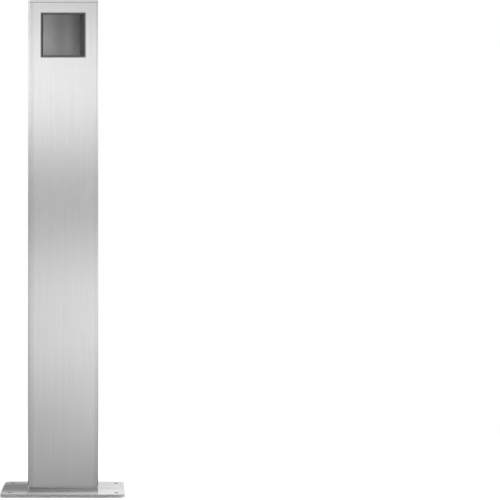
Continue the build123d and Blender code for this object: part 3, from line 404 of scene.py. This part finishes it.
# moulded plastic and rubber
def moulded(name, colour, roughness, skin=0.0003, relief=0.1, metallic=0.0, coat=0.0, edge=0.25, dust=0.0,
            flow=0.06, crown=None, wrap=None, groove=None, specular=0.5, grimeAndShade=0.0):
    material, tree, shader, place = startMaterial(name)
    mould = useGroup(tree, mouldedSkin, {"Vector": place, "Pitch": skin})
    clouds = useGroup(tree, toneDrift, {"Vector": place, "Size": mouldedBasics["cloudSize"]})
    wear = useGroup(tree, edgeWear, {"Radius": mouldedBasics["rounding"], "Amount": edge, "Vector": place})
    tone = sway(tree, mould["Sheen"], flow, 1.0)
    tone = sway(tree, clouds["Cloud"], flow, tone)
    surface = scaleColour(tree, colour, tone)
    gain, lift = mouldedBasics["wornGain"], mouldedBasics["wornLift"]
    paler = shade(1.0, [min(1.0, part * gain + lift) for part in colour[:3]])
    surface = mixColour(tree, wear["Edge"], surface, paler)
    rough = calc(tree, "MULTIPLY_ADD", clouds["Smudge"], mouldedBasics["smudge"], roughness)
    # painted shade in recesses, roughened there as grime
    if grimeAndShade:
        filled = useGroup(tree, recessGrimeAndShade, {"Amount": grimeAndShade, "Open": mouldedBasics["recessOpen"],
                                              "Closed": mouldedBasics["recessClosed"]})["Filled"]
        surface = mixColour(tree, filled, surface, mouldedBasics["grimeShadeTone"])
        rough = calc(tree, "MULTIPLY_ADD", filled, mouldedBasics["grimeRough"], rough)
    if dust:
        mask = useGroup(tree, settledDust, {"Vector": place, "Amount": dust})["Dust"]
        surface = mixColour(tree, mask, surface, mouldedBasics["dustTone"])
        rough = calc(tree, "MULTIPLY_ADD", mask, mouldedBasics["dustRough"], rough)
    if groove:
        surface = grooveShade(tree, place, surface, groove)
    normal = wear["Normal"]
    if wrap:
        normal = wrappedNormal(tree, place, normal, wrap)
    if crown:
        normal = crownedNormal(tree, place, normal, crown)
    bump = addNode(tree, "ShaderNodeBump", {
        "Height": mould["Height"], "Distance": mouldedBasics["skinDepth"], "Strength": relief,
        "Normal": normal})
    tree.links.new(surface, shader.inputs["Base Color"])
    tree.links.new(rough, shader.inputs["Roughness"])
    tree.links.new(bump.outputs["Normal"], shader.inputs["Normal"])
    shader.inputs["Metallic"].default_value = metallic
    shader.inputs["Coat Weight"].default_value = coat
    shader.inputs["Specular IOR Level"].default_value = specular
    return material


# what each finish needs to know of the post; pairs are where a change starts and ends, in metres
lidLow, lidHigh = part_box("cover_lid")
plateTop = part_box("base_plate")[1].z
steelColour = (0.78, 0.782, 0.79, 1.0)
columnFolds = {"start": 0.055, "end": 0.062, "leftShade": 0.91, "sharp": 0.0004, "round": 0.008,
               "roundDepth": (-0.022, -0.02), "aboveFoot": (0.015, 0.04), "belowCap": (0.955, 0.972),
               "frontDepth": (-0.0268, -0.024), "right": (0.059, 0.066), "rightShade": 0.95,
               "rightBelow": ((0.72, 0.8), (0.2, 0.35)), "footCorner": (0.0665, 0.0685),
               "footHeight": (0.02, 0.034), "footCornerShade": 0.66}
paintedFootBand = {"low": plateTop + 0.006, "high": plateTop + 0.0085, "ragged": 0.003, "left": 1.0, "right": 0.85,
            "half": 0.07, "slant": 0.008, "colour": (0.29, 0.29, 0.295, 1.0)}
plateLitStrip = {"rise": (0.0, -0.028), "fall": (-0.047, -0.053), "leftEnd": (-0.078, -0.066), "left": 0.36,
            "rightEnd": (0.05, 0.072), "right": 0.12}
plateCutAndShade = {"fineness": (1400, 1400, 60), "dark": shade(0.6), "pale": shade(0.72), "lean": (0.75, 0.95),
            "foot": 0.002, "top": plateTop}
lidCrown = {"centre": tuple((lidLow + lidHigh) / 2), "across": 2.4, "upright": 0.4}
lidWrap = {"edge": lidLow.x + 0.0008, "start": lidLow.x + 0.0045, "share": 0.75,
           "front": lidLow.y + 0.002, "back": lidLow.y + 0.0035}
lidGroove = {"start": lidHigh.x - 0.0075, "middle": lidHigh.x - 0.0045, "wall": lidHigh.x - 0.002,
             "lip": lidHigh.x - 0.0006, "onLip": 0.3, "amount": 0.62, "tone": shade(0.015)}
finishes = {
    "columnSteel": metal("columnSteel", steelColour, (2600, 2600, 22), 0.20, spread=0.05, stretch=0.85,
                         contrast=0.10, drift=0.03, bump=0.2, shadedFootBand=paintedFootBand, folds=columnFolds),
    "capSteel": metal("capSteel", (0.84, 0.842, 0.85, 1.0), (26, 2600, 2600), 0.25, stretch=0.6,
                      lay=(0, 1, 0), contrast=0.04, drift=0.02),
    "plateSteel": metal("plateSteel", (0.72, 0.722, 0.73, 1.0), (24, 1900, 1900), 0.20, spread=0.07,
                        stretch=0.8, lay=(0, 1, 0), contrast=0.16, drift=0.12, bump=0.35, edge=0.08,
                        dust=0.05, tarnish=((0.5, 0.49, 0.48, 1.0), 0.12), satin=0.86, grimeAndShade=0.9,
                        rubAndLight=plateLitStrip, cutAndShade=plateCutAndShade),
    "weldBead": metal("weldBead", (0.56, 0.53, 0.5, 1.0), (900, 900, 900), 0.42, spread=0.15, contrast=0.3,
                      bump=0.8, tarnish=((0.32, 0.26, 0.3, 1.0), 0.5)),
    "rolledSteel": metal("rolledSteel", (0.62, 0.63, 0.645, 1.0), (500, 500, 60), 0.36, contrast=0.12,
                         drift=0.1, tarnish=((0.45, 0.44, 0.43, 1.0), 0.25)),
    "screwSteel": metal("screwSteel", (0.7, 0.7, 0.71, 1.0), (1800, 1800, 1800), 0.24, contrast=0.10,
                        edge=0.6, grimeAndShade=0.95),
    "springSteel": metal("springSteel", (0.62, 0.63, 0.65, 1.0), (4000, 4000, 4000), 0.22, contrast=0.08),
    "zincPlate": metal("zincPlate", (0.66, 0.67, 0.64, 1.0), (700, 700, 700), 0.38, contrast=0.14,
                       drift=0.2, tarnish=((0.5, 0.5, 0.42, 1.0), 0.35)),
    "bareBrass": metal("bareBrass", (0.80, 0.60, 0.30, 1.0), (900, 900, 300), 0.27, contrast=0.12,
                       tarnish=((0.42, 0.27, 0.12, 1.0), 0.4)),
    "lidGraphite": moulded("lidGraphite", (0.181, 0.181, 0.183, 1.0), 0.15, skin=0.0012, relief=0.10,
                           metallic=0.92, coat=0.3, edge=0.1, flow=0.05, dust=0.012, grimeAndShade=0.9,
                           crown=lidCrown, wrap=lidWrap, groove=lidGroove),
    "frameBlack": moulded("frameBlack", (0.062, 0.062, 0.065, 1.0), 0.36, skin=0.0002, relief=0.35,
                          dust=0.04),
    "faceGraphite": moulded("faceGraphite", (0.10, 0.10, 0.103, 1.0), 0.22, skin=0.0009, relief=0.08,
                            coat=0.2),
    "baseIvory": moulded("baseIvory", (0.74, 0.72, 0.66, 1.0), 0.42, relief=0.2),
    "boxGrey": moulded("boxGrey", (0.24, 0.25, 0.26, 1.0), 0.48, relief=0.35, dust=0.05),
    "terminalGrey": moulded("terminalGrey", (0.62, 0.62, 0.58, 1.0), 0.4, relief=0.25),
    "clipBlack": moulded("clipBlack", (0.04, 0.04, 0.042, 1.0), 0.45, relief=0.3),
    "sealRubber": moulded("sealRubber", (0.03, 0.03, 0.031, 1.0), 0.68, skin=0.00035, relief=0.6, edge=0.1,
                          dust=0.1, specular=0.3),
    "sealFoam": moulded("sealFoam", (0.05, 0.05, 0.052, 1.0), 0.85, skin=0.0006, relief=2.5, edge=0.05,
                        specular=0.2),
    "sheathBlack": moulded("sheathBlack", (0.035, 0.035, 0.037, 1.0), 0.52, skin=0.0005, relief=0.3,
                           dust=0.06),
    "leadBrown": moulded("leadBrown", (0.16, 0.065, 0.03, 1.0), 0.35, skin=0.0006, relief=0.1),
    "leadBlue": moulded("leadBlue", (0.03, 0.12, 0.42, 1.0), 0.35, skin=0.0006, relief=0.1),
}


# earth leads: green and yellow bands along the sleeve
def makeEarthLead():
    material, tree, shader, place = startMaterial("leadEarth")
    mould = useGroup(tree, mouldedSkin, {"Vector": place, "Pitch": 0.0006})
    wave = addNode(tree, "ShaderNodeTexWave", {"Vector": place, "Scale": 55.0, "Distortion": 0.4},
                   wave_type="BANDS", bands_direction="DIAGONAL")
    band = remap(tree, wave.outputs["Fac"], 0.46, 0.54, 0.0, 1.0)
    surface = mixColour(tree, band, (0.05, 0.26, 0.05, 1.0), (0.72, 0.62, 0.04, 1.0))
    tree.links.new(surface, shader.inputs["Base Color"])
    bump = addNode(tree, "ShaderNodeBump", {
        "Height": mould["Height"], "Distance": mouldedBasics["skinDepth"], "Strength": 0.1})
    tree.links.new(bump.outputs["Normal"], shader.inputs["Normal"])
    tree.links.new(remap(tree, mould["Sheen"], 0.3, 0.7, 0.3, 0.42), shader.inputs["Roughness"])
    return material


finishes["leadEarth"] = makeEarthLead()
print("finishes built:", len(finishes))

nodeFinish = {
    "columnSteel": ("column_shell", "rear_panel"),
    "capSteel": ("top_cap",),
    "plateSteel": ("base_plate",),
    "weldBead": ("base_weld",),
    "rolledSteel": ("window_collar", "terminal_bracket"),
    "screwSteel": ("rear_panel_screws", "rivet_nuts", "cap_screws", "frame_screws", "face_screw",
                   "hinge_pin", "earth_stud"),
    "springSteel": ("hinge_spring", "earth_bow"),
    "zincPlate": ("support_ring", "ring_screws", "contact_screws", "clamp_screws", "block_screws",
                  "earth_washers", "earth_nut", "bond_lug"),
    "bareBrass": ("live_contact", "neutral_contact", "terminal_clamps"),
    "lidGraphite": ("cover_lid",),
    "frameBlack": ("insert_frame",),
    "faceGraphite": ("socket_face",),
    "baseIvory": ("socket_base",),
    "boxGrey": ("device_box",),
    "terminalGrey": ("terminal_body",),
    "clipBlack": ("cable_clips",),
    "sealRubber": ("cable_grommet", "frame_gasket", "lid_seal", "box_gland"),
    "sealFoam": ("panel_seals", "cap_seal"),
    "sheathBlack": ("riser_cable",),
    "leadEarth": ("bond_lead",),
}
for finish, names in nodeFinish.items():
    for name in names:
        materials = nodes[name].data.materials
        materials.clear()
        materials.append(finishes[finish])


# the separate solids of a node, as lists of faces, ordered by their middle's x
def solidsOf(mesh):
    keys = {}
    corner = [keys.setdefault(tuple(round(part, 6) for part in vertex.co), len(keys))
              for vertex in mesh.vertices]
    parent = list(range(len(keys)))

    def top(item):
        while parent[item] != item:
            parent[item] = parent[parent[item]]
            item = parent[item]
        return item

    for face in mesh.polygons:
        first = top(corner[face.vertices[0]])
        for vertex in face.vertices[1:]:
            parent[top(corner[vertex])] = first
    found = {}
    for face in mesh.polygons:
        found.setdefault(top(corner[face.vertices[0]]), []).append(face)
    return sorted(found.values(), key=lambda faces: sum(face.center.x for face in faces) / len(faces))


def colourLeads(name, order):
    mesh = nodes[name].data
    mesh.materials.clear()
    for finish in order:
        mesh.materials.append(finishes[finish])
    for index, faces in enumerate(solidsOf(mesh)):
        for face in faces:
            face.material_index = index % len(order)


colourLeads("socket_leads", ("leadBrown", "leadEarth", "leadBlue"))
colourLeads("terminal_leads", ("leadBrown", "leadBlue", "leadEarth"))
print("finishes placed")


# named inputs for a geometry tree, with their identifiers
def addTreeSockets(group, inputs):
    group.interface.new_socket(name="Geometry", in_out="INPUT", socket_type="NodeSocketGeometry")
    identifiers = {}
    for label, (kind, value) in inputs.items():
        socket = group.interface.new_socket(name=label, in_out="INPUT", socket_type=kind)
        if value is not None:
            socket.default_value = value
        identifiers[label] = socket.identifier
    group.interface.new_socket(name="Geometry", in_out="OUTPUT", socket_type="NodeSocketGeometry")
    return identifiers


# the end of each geometry tree: real geometry with its finish
def endTree(tree, placed, finish):
    real = addNode(tree, "GeometryNodeRealizeInstances", {"Geometry": placed})
    finished = addNode(tree, "GeometryNodeSetMaterial", {"Geometry": real.outputs[0], "Material": finish})
    output = tree.nodes.new("NodeGroupOutput")
    tree.links.new(finished.outputs[0], output.inputs[0])


# countersunk screws: one tree makes a screw from its sizes and sets it on every head's middle
def makeScrewTree():
    tree = bpy.data.node_groups.new("countersunkScrews", "GeometryNodeTree")
    identifiers = addTreeSockets(tree, {
        "Head Radius": ("NodeSocketFloat", 0.0038), "Shank Radius": ("NodeSocketFloat", 0.002),
        "Length": ("NodeSocketFloat", 0.012), "Key Radius": ("NodeSocketFloat", 0.0013),
        "Key Depth": ("NodeSocketFloat", 0.0012), "Thread Pitch": ("NodeSocketFloat", 0.0007),
        "Turn": ("NodeSocketVector", (0.0, 0.0, 0.0)), "Finish": ("NodeSocketMaterial", None)})
    sides, threadShare = 32, 0.86
    given = tree.nodes.new("NodeGroupInput").outputs
    headRadius, shankRadius, length = given["Head Radius"], given["Shank Radius"], given["Length"]
    keyRadius, keyDepth, pitch = given["Key Radius"], given["Key Depth"], given["Thread Pitch"]

    def lower(geometry, drop):
        offset = addNode(tree, "ShaderNodeCombineXYZ", {2: times(tree, drop, -1.0)}).outputs[0]
        moved = addNode(tree, "GeometryNodeTransform", {"Geometry": geometry, "Translation": offset})
        return moved.outputs[0]

    rim = addNode(tree, "GeometryNodeCurvePrimitiveCircle", {"Resolution": sides, "Radius": headRadius})
    hexagon = addNode(tree, "GeometryNodeCurvePrimitiveCircle", {"Resolution": 6, "Radius": keyRadius})
    outline = tree.nodes.new("GeometryNodeJoinGeometry")
    tree.links.new(rim.outputs[0], outline.inputs[0])
    tree.links.new(hexagon.outputs[0], outline.inputs[0])
    face = addNode(tree, "GeometryNodeFillCurve", {"Curve": outline.outputs[0]}).outputs[0]
    keyWall = addNode(tree, "GeometryNodeMeshCylinder", {
        "Vertices": 6, "Radius": keyRadius, "Depth": keyDepth}, fill_type="NONE").outputs["Mesh"]
    keyWall = addNode(tree, "GeometryNodeFlipFaces", {"Mesh": lower(keyWall, times(tree, keyDepth, 0.5))})
    keyFloor = addNode(tree, "GeometryNodeMeshCircle", {"Vertices": 6, "Radius": keyRadius},
                       fill_type="NGON")
    neck = calc(tree, "SUBTRACT", headRadius, shankRadius)
    cone = addNode(tree, "GeometryNodeMeshCone", {
        "Vertices": sides, "Radius Top": headRadius, "Radius Bottom": shankRadius, "Depth": neck},
        fill_type="NONE")
    shankLength = calc(tree, "SUBTRACT", length, neck)
    core = calc(tree, "MULTIPLY_ADD", pitch, -0.45, shankRadius)
    shank = addNode(tree, "GeometryNodeMeshCone", {
        "Vertices": sides, "Radius Top": shankRadius, "Radius Bottom": core, "Depth": shankLength},
        fill_type="NONE")
    tip = addNode(tree, "GeometryNodeMeshCircle", {"Vertices": sides, "Radius": core}, fill_type="NGON")
    tip = addNode(tree, "GeometryNodeFlipFaces", {"Mesh": tip.outputs[0]})
    run = times(tree, shankLength, threadShare)
    spiral = addNode(tree, "GeometryNodeCurveSpiral", {
        "Resolution": 20, "Rotations": calc(tree, "DIVIDE", run, pitch), "Start Radius": core,
        "End Radius": core, "Height": run, "Reverse": True})  # reversed: a right-hand thread
    profile = addNode(tree, "GeometryNodeCurvePrimitiveCircle", {
        "Resolution": 4, "Radius": times(tree, pitch, 0.44)})
    thread = addNode(tree, "GeometryNodeCurveToMesh", {
        "Curve": spiral.outputs[0], "Profile Curve": profile.outputs[0], "Fill Caps": True})
    whole = tree.nodes.new("GeometryNodeJoinGeometry")
    parts = [face, keyWall.outputs[0], lower(keyFloor.outputs[0], keyDepth),
             lower(cone.outputs["Mesh"], neck), lower(shank.outputs["Mesh"], length),
             lower(tip.outputs[0], length),
             lower(thread.outputs[0], calc(tree, "SUBTRACT", length, times(tree, pitch, 0.8)))]
    for part in parts:
        tree.links.new(part, whole.inputs[0])
    welded = addNode(tree, "GeometryNodeMergeByDistance", {
        "Geometry": whole.outputs[0], "Distance": 0.000002})
    placed = addNode(tree, "GeometryNodeInstanceOnPoints", {
        "Points": given["Geometry"], "Instance": welded.outputs[0], "Rotation": given["Turn"]})
    endTree(tree, placed.outputs[0], given["Finish"])
    return tree, identifiers


# runs a tree on its points and keeps the result as a plain mesh
def plainMesh(name, points, tree, values):
    seeds = bpy.data.meshes.new(name + "Points")
    seeds.from_pydata(points, [], [])
    maker = bpy.data.objects.new(name + "Maker", seeds)
    scene.collection.objects.link(maker)
    modifier = maker.modifiers.new("maker", "NODES")
    modifier.node_group = tree
    for identifier, value in values.items():
        modifier[identifier] = value
    made = maker.evaluated_get(bpy.context.evaluated_depsgraph_get())
    mesh = bpy.data.meshes.new_from_object(made)
    bpy.data.objects.remove(maker)
    piece = bpy.data.objects.new(name, mesh)
    scene.collection.objects.link(piece)
    return piece


def placeScrews(name, setting, tree, identifiers):
    low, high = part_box(setting["node"])
    back = setting["heads"] == "back"
    depth = high.y if back else low.y
    points = []
    for faces in solidsOf(nodes[setting["node"]].data):
        acrossX = [face.center.x for face in faces]
        acrossZ = [face.center.z for face in faces]
        points.append(((min(acrossX) + max(acrossX)) / 2, depth, (min(acrossZ) + max(acrossZ)) / 2))
    values = {"Head Radius": setting["headRadius"], "Shank Radius": setting["shankRadius"],
              "Length": high.y - low.y, "Key Radius": setting["keyRadius"],
              "Key Depth": setting["keyDepth"], "Thread Pitch": setting["pitch"],
              "Turn": (-math.pi / 2 if back else math.pi / 2, 0.0, 0.0), "Finish": finishes["screwSteel"]}
    piece = plainMesh(name, points, tree, {identifiers[label]: value for label, value in values.items()})
    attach(piece, "post")
    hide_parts(setting["node"])


panelScrew = {"heads": "back", "headRadius": 0.0038, "shankRadius": 0.00195, "keyRadius": 0.0014,
              "keyDepth": 0.0012, "pitch": 0.0007}
socketScrew = {"heads": "front", "headRadius": 0.003, "shankRadius": 0.0017, "keyRadius": 0.0013,
               "keyDepth": 0.0011, "pitch": 0.0006}
screwSets = {
    "rearPanelScrews": {"node": "rear_panel_screws", **panelScrew},
    "capScrews": {"node": "cap_screws", **panelScrew},
    "frameScrews": {"node": "frame_screws", **socketScrew},
    "faceScrew": {"node": "face_screw", **socketScrew},
}
screwTree, screwInputs = makeScrewTree()
for name, setting in screwSets.items():
    placeScrews(name, setting, screwTree, screwInputs)
print("screws placed:", len(screwSets), "sets")


# the lid's spring: one wire that coils round the pin, with a straight end in the lid and one in the frame;
# its points are numbered from the lower end
def makeSpringTree():
    tree = bpy.data.node_groups.new("coiledSpring", "GeometryNodeTree")
    identifiers = addTreeSockets(tree, {
        "Coil Radius": ("NodeSocketFloat", 0.00175), "Wire Radius": ("NodeSocketFloat", 0.00035),
        "Turns": ("NodeSocketInt", 8), "Points per Turn": ("NodeSocketInt", 24),
        "Height": ("NodeSocketFloat", 0.0167), "Straight End": ("NodeSocketFloat", 0.00265),
        "Finish": ("NodeSocketMaterial", None)})
    given = tree.nodes.new("NodeGroupInput").outputs
    steps = times(tree, given["Turns"], given["Points per Turn"])
    index = tree.nodes.new("GeometryNodeInputIndex").outputs[0]
    share = calc(tree, "DIVIDE", calc(tree, "SUBTRACT", index, 1.0), steps, clamp=True)
    angle = times(tree, share, given["Turns"], 2 * math.pi)
    atTop = calc(tree, "GREATER_THAN", index, calc(tree, "ADD", steps, 1.5))
    ends = calc(tree, "SUBTRACT", atTop, calc(tree, "LESS_THAN", index, 0.5))
    rise = calc(tree, "MULTIPLY_ADD", ends, given["Straight End"], times(tree, share, given["Height"]))
    place = addNode(tree, "ShaderNodeCombineXYZ", {
        0: times(tree, calc(tree, "COSINE", angle), given["Coil Radius"]),
        1: times(tree, calc(tree, "SINE", angle), given["Coil Radius"]), 2: rise}).outputs[0]
    count = calc(tree, "ADD", steps, 3.0)
    points = addNode(tree, "GeometryNodePoints", {"Count": count, "Position": place})
    wire = addNode(tree, "GeometryNodePointsToCurves", {"Points": points.outputs[0]}).outputs[0]
    profile = addNode(tree, "GeometryNodeCurvePrimitiveCircle", {
        "Resolution": 12, "Radius": given["Wire Radius"]})
    coil = addNode(tree, "GeometryNodeCurveToMesh", {
        "Curve": wire, "Profile Curve": profile.outputs[0], "Fill Caps": True})
    smooth = addNode(tree, "GeometryNodeSetShadeSmooth", {
        "Geometry": coil.outputs[0], "Shade Smooth": True})
    placed = addNode(tree, "GeometryNodeInstanceOnPoints", {
        "Points": given["Geometry"], "Instance": smooth.outputs[0]})
    endTree(tree, placed.outputs[0], given["Finish"])
    return tree, identifiers


hingeSpring = {"coilRadius": 0.00175, "wireRadius": 0.00035, "turns": 8, "pointsPerTurn": 24,
               "straightEnd": 0.00265}


# the lower end sits in the lid and the upper end in the frame; the coil is made in one fixed shape
def placeSpring(setting):
    tree, identifiers = makeSpringTree()
    low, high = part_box("hinge_spring")
    axis = sum(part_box("hinge_pin"), Vector()) / 2
    start = Vector((axis.x, axis.y, low.z + setting["straightEnd"]))
    end = Vector((axis.x, axis.y, high.z - setting["straightEnd"]))
    values = {"Coil Radius": setting["coilRadius"], "Wire Radius": setting["wireRadius"],
              "Turns": setting["turns"], "Points per Turn": setting["pointsPerTurn"],
              "Height": end.z - start.z, "Straight End": setting["straightEnd"],
              "Finish": finishes["springSteel"]}
    piece = plainMesh("hingeSpring", [tuple(start)], tree,
                      {identifiers[label]: value for label, value in values.items()})
    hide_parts("hinge_spring")
    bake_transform(piece)


placeSpring(hingeSpring)
print("spring wound:", hingeSpring["turns"], "turns")

# camera at the photograph's place
cameraPlace = {"position": (0.0735, -1.861, 0.4688), "pitchUp": 0.551, "lens": 66.135, "shiftX": 0.3001}


def makeCamera(place):
    data = bpy.data.cameras.new("photoCamera")
    camera = bpy.data.objects.new("photoCamera", data)
    scene.collection.objects.link(camera)
    camera.location = place["position"]
    camera.rotation_euler = (math.radians(90 + place["pitchUp"]), 0, 0)
    data.lens = place["lens"]
    data.sensor_width = 36
    data.shift_x = place["shiftX"]
    data.clip_start, data.clip_end = 0.05, 60
    scene.camera = camera


makeCamera(cameraPlace)

# studio: white for the camera, a soft graded room for reflections, plain grey for the rest; the room's
# levels go by a direction's height in degrees and by its turn, which is x over the size of y
white = (1.0, 1.0, 1.0, 1.0)
studioRoom = {
    "byHeight": [(-25, 0.62), (-8, 0.84), (-4.8, 0.93), (-2, 0.87), (0, 0.78), (2, 0.56), (3.6, 0.48),
                 (5.5, 0.59), (7.9, 0.91), (9.8, 1.06), (11.5, 1.09), (13, 1.0), (15, 0.755), (16, 0.71),
                 (18, 0.61), (24, 0.57), (40, 0.56), (55, 0.3), (72, 0.16), (90, 0.16)],
    "front": [(-4.0, 1.7), (-2.0, 1.7), (-1.0, 1.68), (-0.6, 1.72), (-0.4, 1.74), (-0.3, 1.57),
              (-0.18, 1.22), (-0.1, 0.99), (-0.03, 1.0), (0.05, 1.14), (0.1, 1.0), (0.2, 0.57),
              (0.265, 0.37), (0.31, 0.26), (0.36, 0.16), (0.5, 0.17), (0.7, 0.5), (1.0, 0.95), (1.6, 1.1),
              (2.5, 1.05)],
    "frontHeights": ((7.5, 10.5), (20.0, 28.0)),
    "back": [(-1.0, 1.0), (-0.4, 0.5), (-0.15, 0.3), (-0.07, 0.33), (-0.03, 0.55), (0.0, 0.96),
             (0.03, 0.88), (0.2, 1.0), (1.0, 1.05)],
    "backHeights": ((4.0, 8.0), (28.0, 50.0)),
    "tilt": [(-0.3, 0.66), (-0.12, 0.79), (-0.078, 0.86), (-0.04, 0.98), (0.0, 1.12), (0.08, 1.26),
             (0.3, 1.32), (0.8, 1.02)],
    "tiltEnd": (1.5, 5.0),
    "sides": [(-6.0, 0.8), (-3.0, 1.0), (0.0, 1.0), (0.5, 1.0), (1.0, 1.02), (2.2, 1.35), (6.0, 0.9)],
    "frontEnd": (-0.4, 0.2),
    "fill": (0.55, 0.555, 0.57, 1.0),
}
studioFloor = {
    "reach": 6.0, "drop": 0.0003, "pale": ((0.90, 0.90, 0.90, 1.0), (0.93, 0.93, 0.93, 1.0)),
    "byDistance": [(0.0, 0.14), (0.07, 0.16), (0.1, 0.41), (0.16, 0.43), (0.26, 0.48), (0.55, 0.55),
                   (1.15, 0.66), (2.2, 0.78), (3.8, 0.88), (6.0, 0.87)],
    "stretch": (0.4, 1.0, 1.0), "tiltStart": (0.1, 1.2), "tilt": 0.6, "fade": (0.15, 0.8), "nearShare": 0.8,
}


def turnOf(tree, x, y):
    return calc(tree, "DIVIDE", x, calc(tree, "MAXIMUM", calc(tree, "ABSOLUTE", y), 0.05))


# the camera and glass see plain white
def whiteFor(tree, paths):
    return calc(tree, "MAXIMUM", paths["Is Camera Ray"], paths["Is Transmission Ray"])


# the room times more levels, as far as a mask lets them through
def grade(tree, room, mask, levels):
    return mixColour(tree, 1.0, room, mixColour(tree, mask, white, levels), "MULTIPLY")


def makeWorld(settings):
    scene.world = bpy.data.worlds.new("studioRoom")
    tree = emptyTree(scene.world)
    x, y, z = partsOf(tree, tree.nodes.new("ShaderNodeTexCoord").outputs["Generated"])
    degrees = times(tree, calc(tree, "ARCSINE", z), 180 / math.pi)
    turn = turnOf(tree, x, y)

    def between(rise, fall):
        return times(tree, remap(tree, degrees, *rise, 0.0, 1.0), remap(tree, degrees, *fall, 1.0, 0.0))

    atFront = remap(tree, y, *settings["frontEnd"], 1.0, 0.0)
    tiltMask = times(tree, remap(tree, degrees, *settings["tiltEnd"], 1.0, 0.0), atFront)
    frontMask = times(tree, between(*settings["frontHeights"]), calc(tree, "LESS_THAN", y, 0.0))
    backMask = times(tree, between(*settings["backHeights"]), calc(tree, "GREATER_THAN", y, 0.0))
    room = levelRamp(tree, degrees, settings["byHeight"])
    for part, mask in (("tilt", tiltMask), ("sides", atFront), ("front", frontMask), ("back", backMask)):
        room = grade(tree, room, mask, levelRamp(tree, turn, settings[part]))
    paths = tree.nodes.new("ShaderNodeLightPath").outputs
    colour = mixColour(tree, paths["Is Glossy Ray"], settings["fill"], room)
    colour = mixColour(tree, whiteFor(tree, paths), colour, white)
    background = addNode(tree, "ShaderNodeBackground", {"Color": colour, "Strength": 1.0})
    output = tree.nodes.new("ShaderNodeOutputWorld")
    tree.links.new(background.outputs[0], output.inputs["Surface"])


def makeFloor(settings, tiltLevels):
    mesh = bpy.data.meshes.new("studioFloor")
    reach, drop = settings["reach"], settings["drop"]
    corners = [(x * reach, y * reach, -drop) for x, y in ((-1, -1), (1, -1), (1, 1), (-1, 1))]
    mesh.from_pydata(corners, [], [(0, 1, 2, 3)])
    floor = bpy.data.objects.new("studioFloor", mesh)
    scene.collection.objects.link(floor)
    material = bpy.data.materials.new("paleFloor")
    tree = emptyTree(material)
    place = tree.nodes.new("ShaderNodeTexCoord").outputs["Object"]
    x, y, z = partsOf(tree, place)
    grain = addNode(tree, "ShaderNodeTexNoise", {"Vector": place, "Scale": 30.0, "Detail": 3.0})
    pale = mixColour(tree, grain.outputs["Fac"], *settings["pale"])
    lit = addNode(tree, "ShaderNodeBsdfDiffuse", {"Color": pale})
    # seen in reflections the floor is a glow, not lit: painted light that is darker near the post, a
    # painted shade there, and graded with the room's tilt levels
    stretched = vectorCalc(tree, "MULTIPLY", place, settings["stretch"])
    distance = vectorCalc(tree, "LENGTH", stretched, (0, 0, 0), "Value")
    graded = levelRamp(tree, distance, settings["byDistance"])
    tilted = mixColour(tree, 1.0, graded, levelRamp(tree, turnOf(tree, x, y), tiltLevels), "MULTIPLY")
    tiltShare = remap(tree, distance, *settings["tiltStart"], 0.0, settings["tilt"])
    graded = mixColour(tree, tiltShare, graded, tilted)
    paths = tree.nodes.new("ShaderNodeLightPath").outputs
    whole = addNode(tree, "ShaderNodeEmission", {"Color": white, "Strength": 1.0})
    mirrored = addNode(tree, "ShaderNodeEmission", {"Color": graded, "Strength": 1.0})
    fade = remap(tree, distance, *settings["fade"], settings["nearShare"], 1.0)
    shown = addNode(tree, "ShaderNodeMixShader", {
        0: times(tree, whiteFor(tree, paths), fade), 1: lit.outputs[0], 2: whole.outputs[0]})
    shown = addNode(tree, "ShaderNodeMixShader", {
        0: paths["Is Glossy Ray"], 1: shown.outputs[0], 2: mirrored.outputs[0]})
    output = tree.nodes.new("ShaderNodeOutputMaterial")
    tree.links.new(shown.outputs[0], output.inputs["Surface"])
    mesh.materials.append(material)


softLights = {
    "keyLight": {"position": (-1.5, -2.2, 2.2), "size": 1.6, "watts": 34},
    "fillLight": {"position": (2.2, -1.4, 1.6), "size": 1.8, "watts": 16},
    "backLight": {"position": (0.8, 2.4, 2.0), "size": 1.8, "watts": 22},
    "sideLight": {"position": (2.6, 0.0, 1.7), "size": 0.5, "watts": 400},
}
lightsAim = Vector((0, 0, 0.5))


def makeLights(lights):
    for name, light in lights.items():
        data = bpy.data.lights.new(name, "AREA")
        data.shape = "SQUARE"
        data.size = light["size"]
        data.energy = light["watts"]
        lamp = bpy.data.objects.new(name, data)
        scene.collection.objects.link(lamp)
        lamp.location = light["position"]
        lamp.rotation_euler = (lightsAim - lamp.location).to_track_quat("-Z", "Y").to_euler()
        lamp.visible_glossy = False
        lamp.visible_camera = False


makeWorld(studioRoom)
makeFloor(studioFloor, studioRoom["tilt"])
makeLights(softLights)
scene.view_settings.view_transform = "Standard"
print("studio ready")
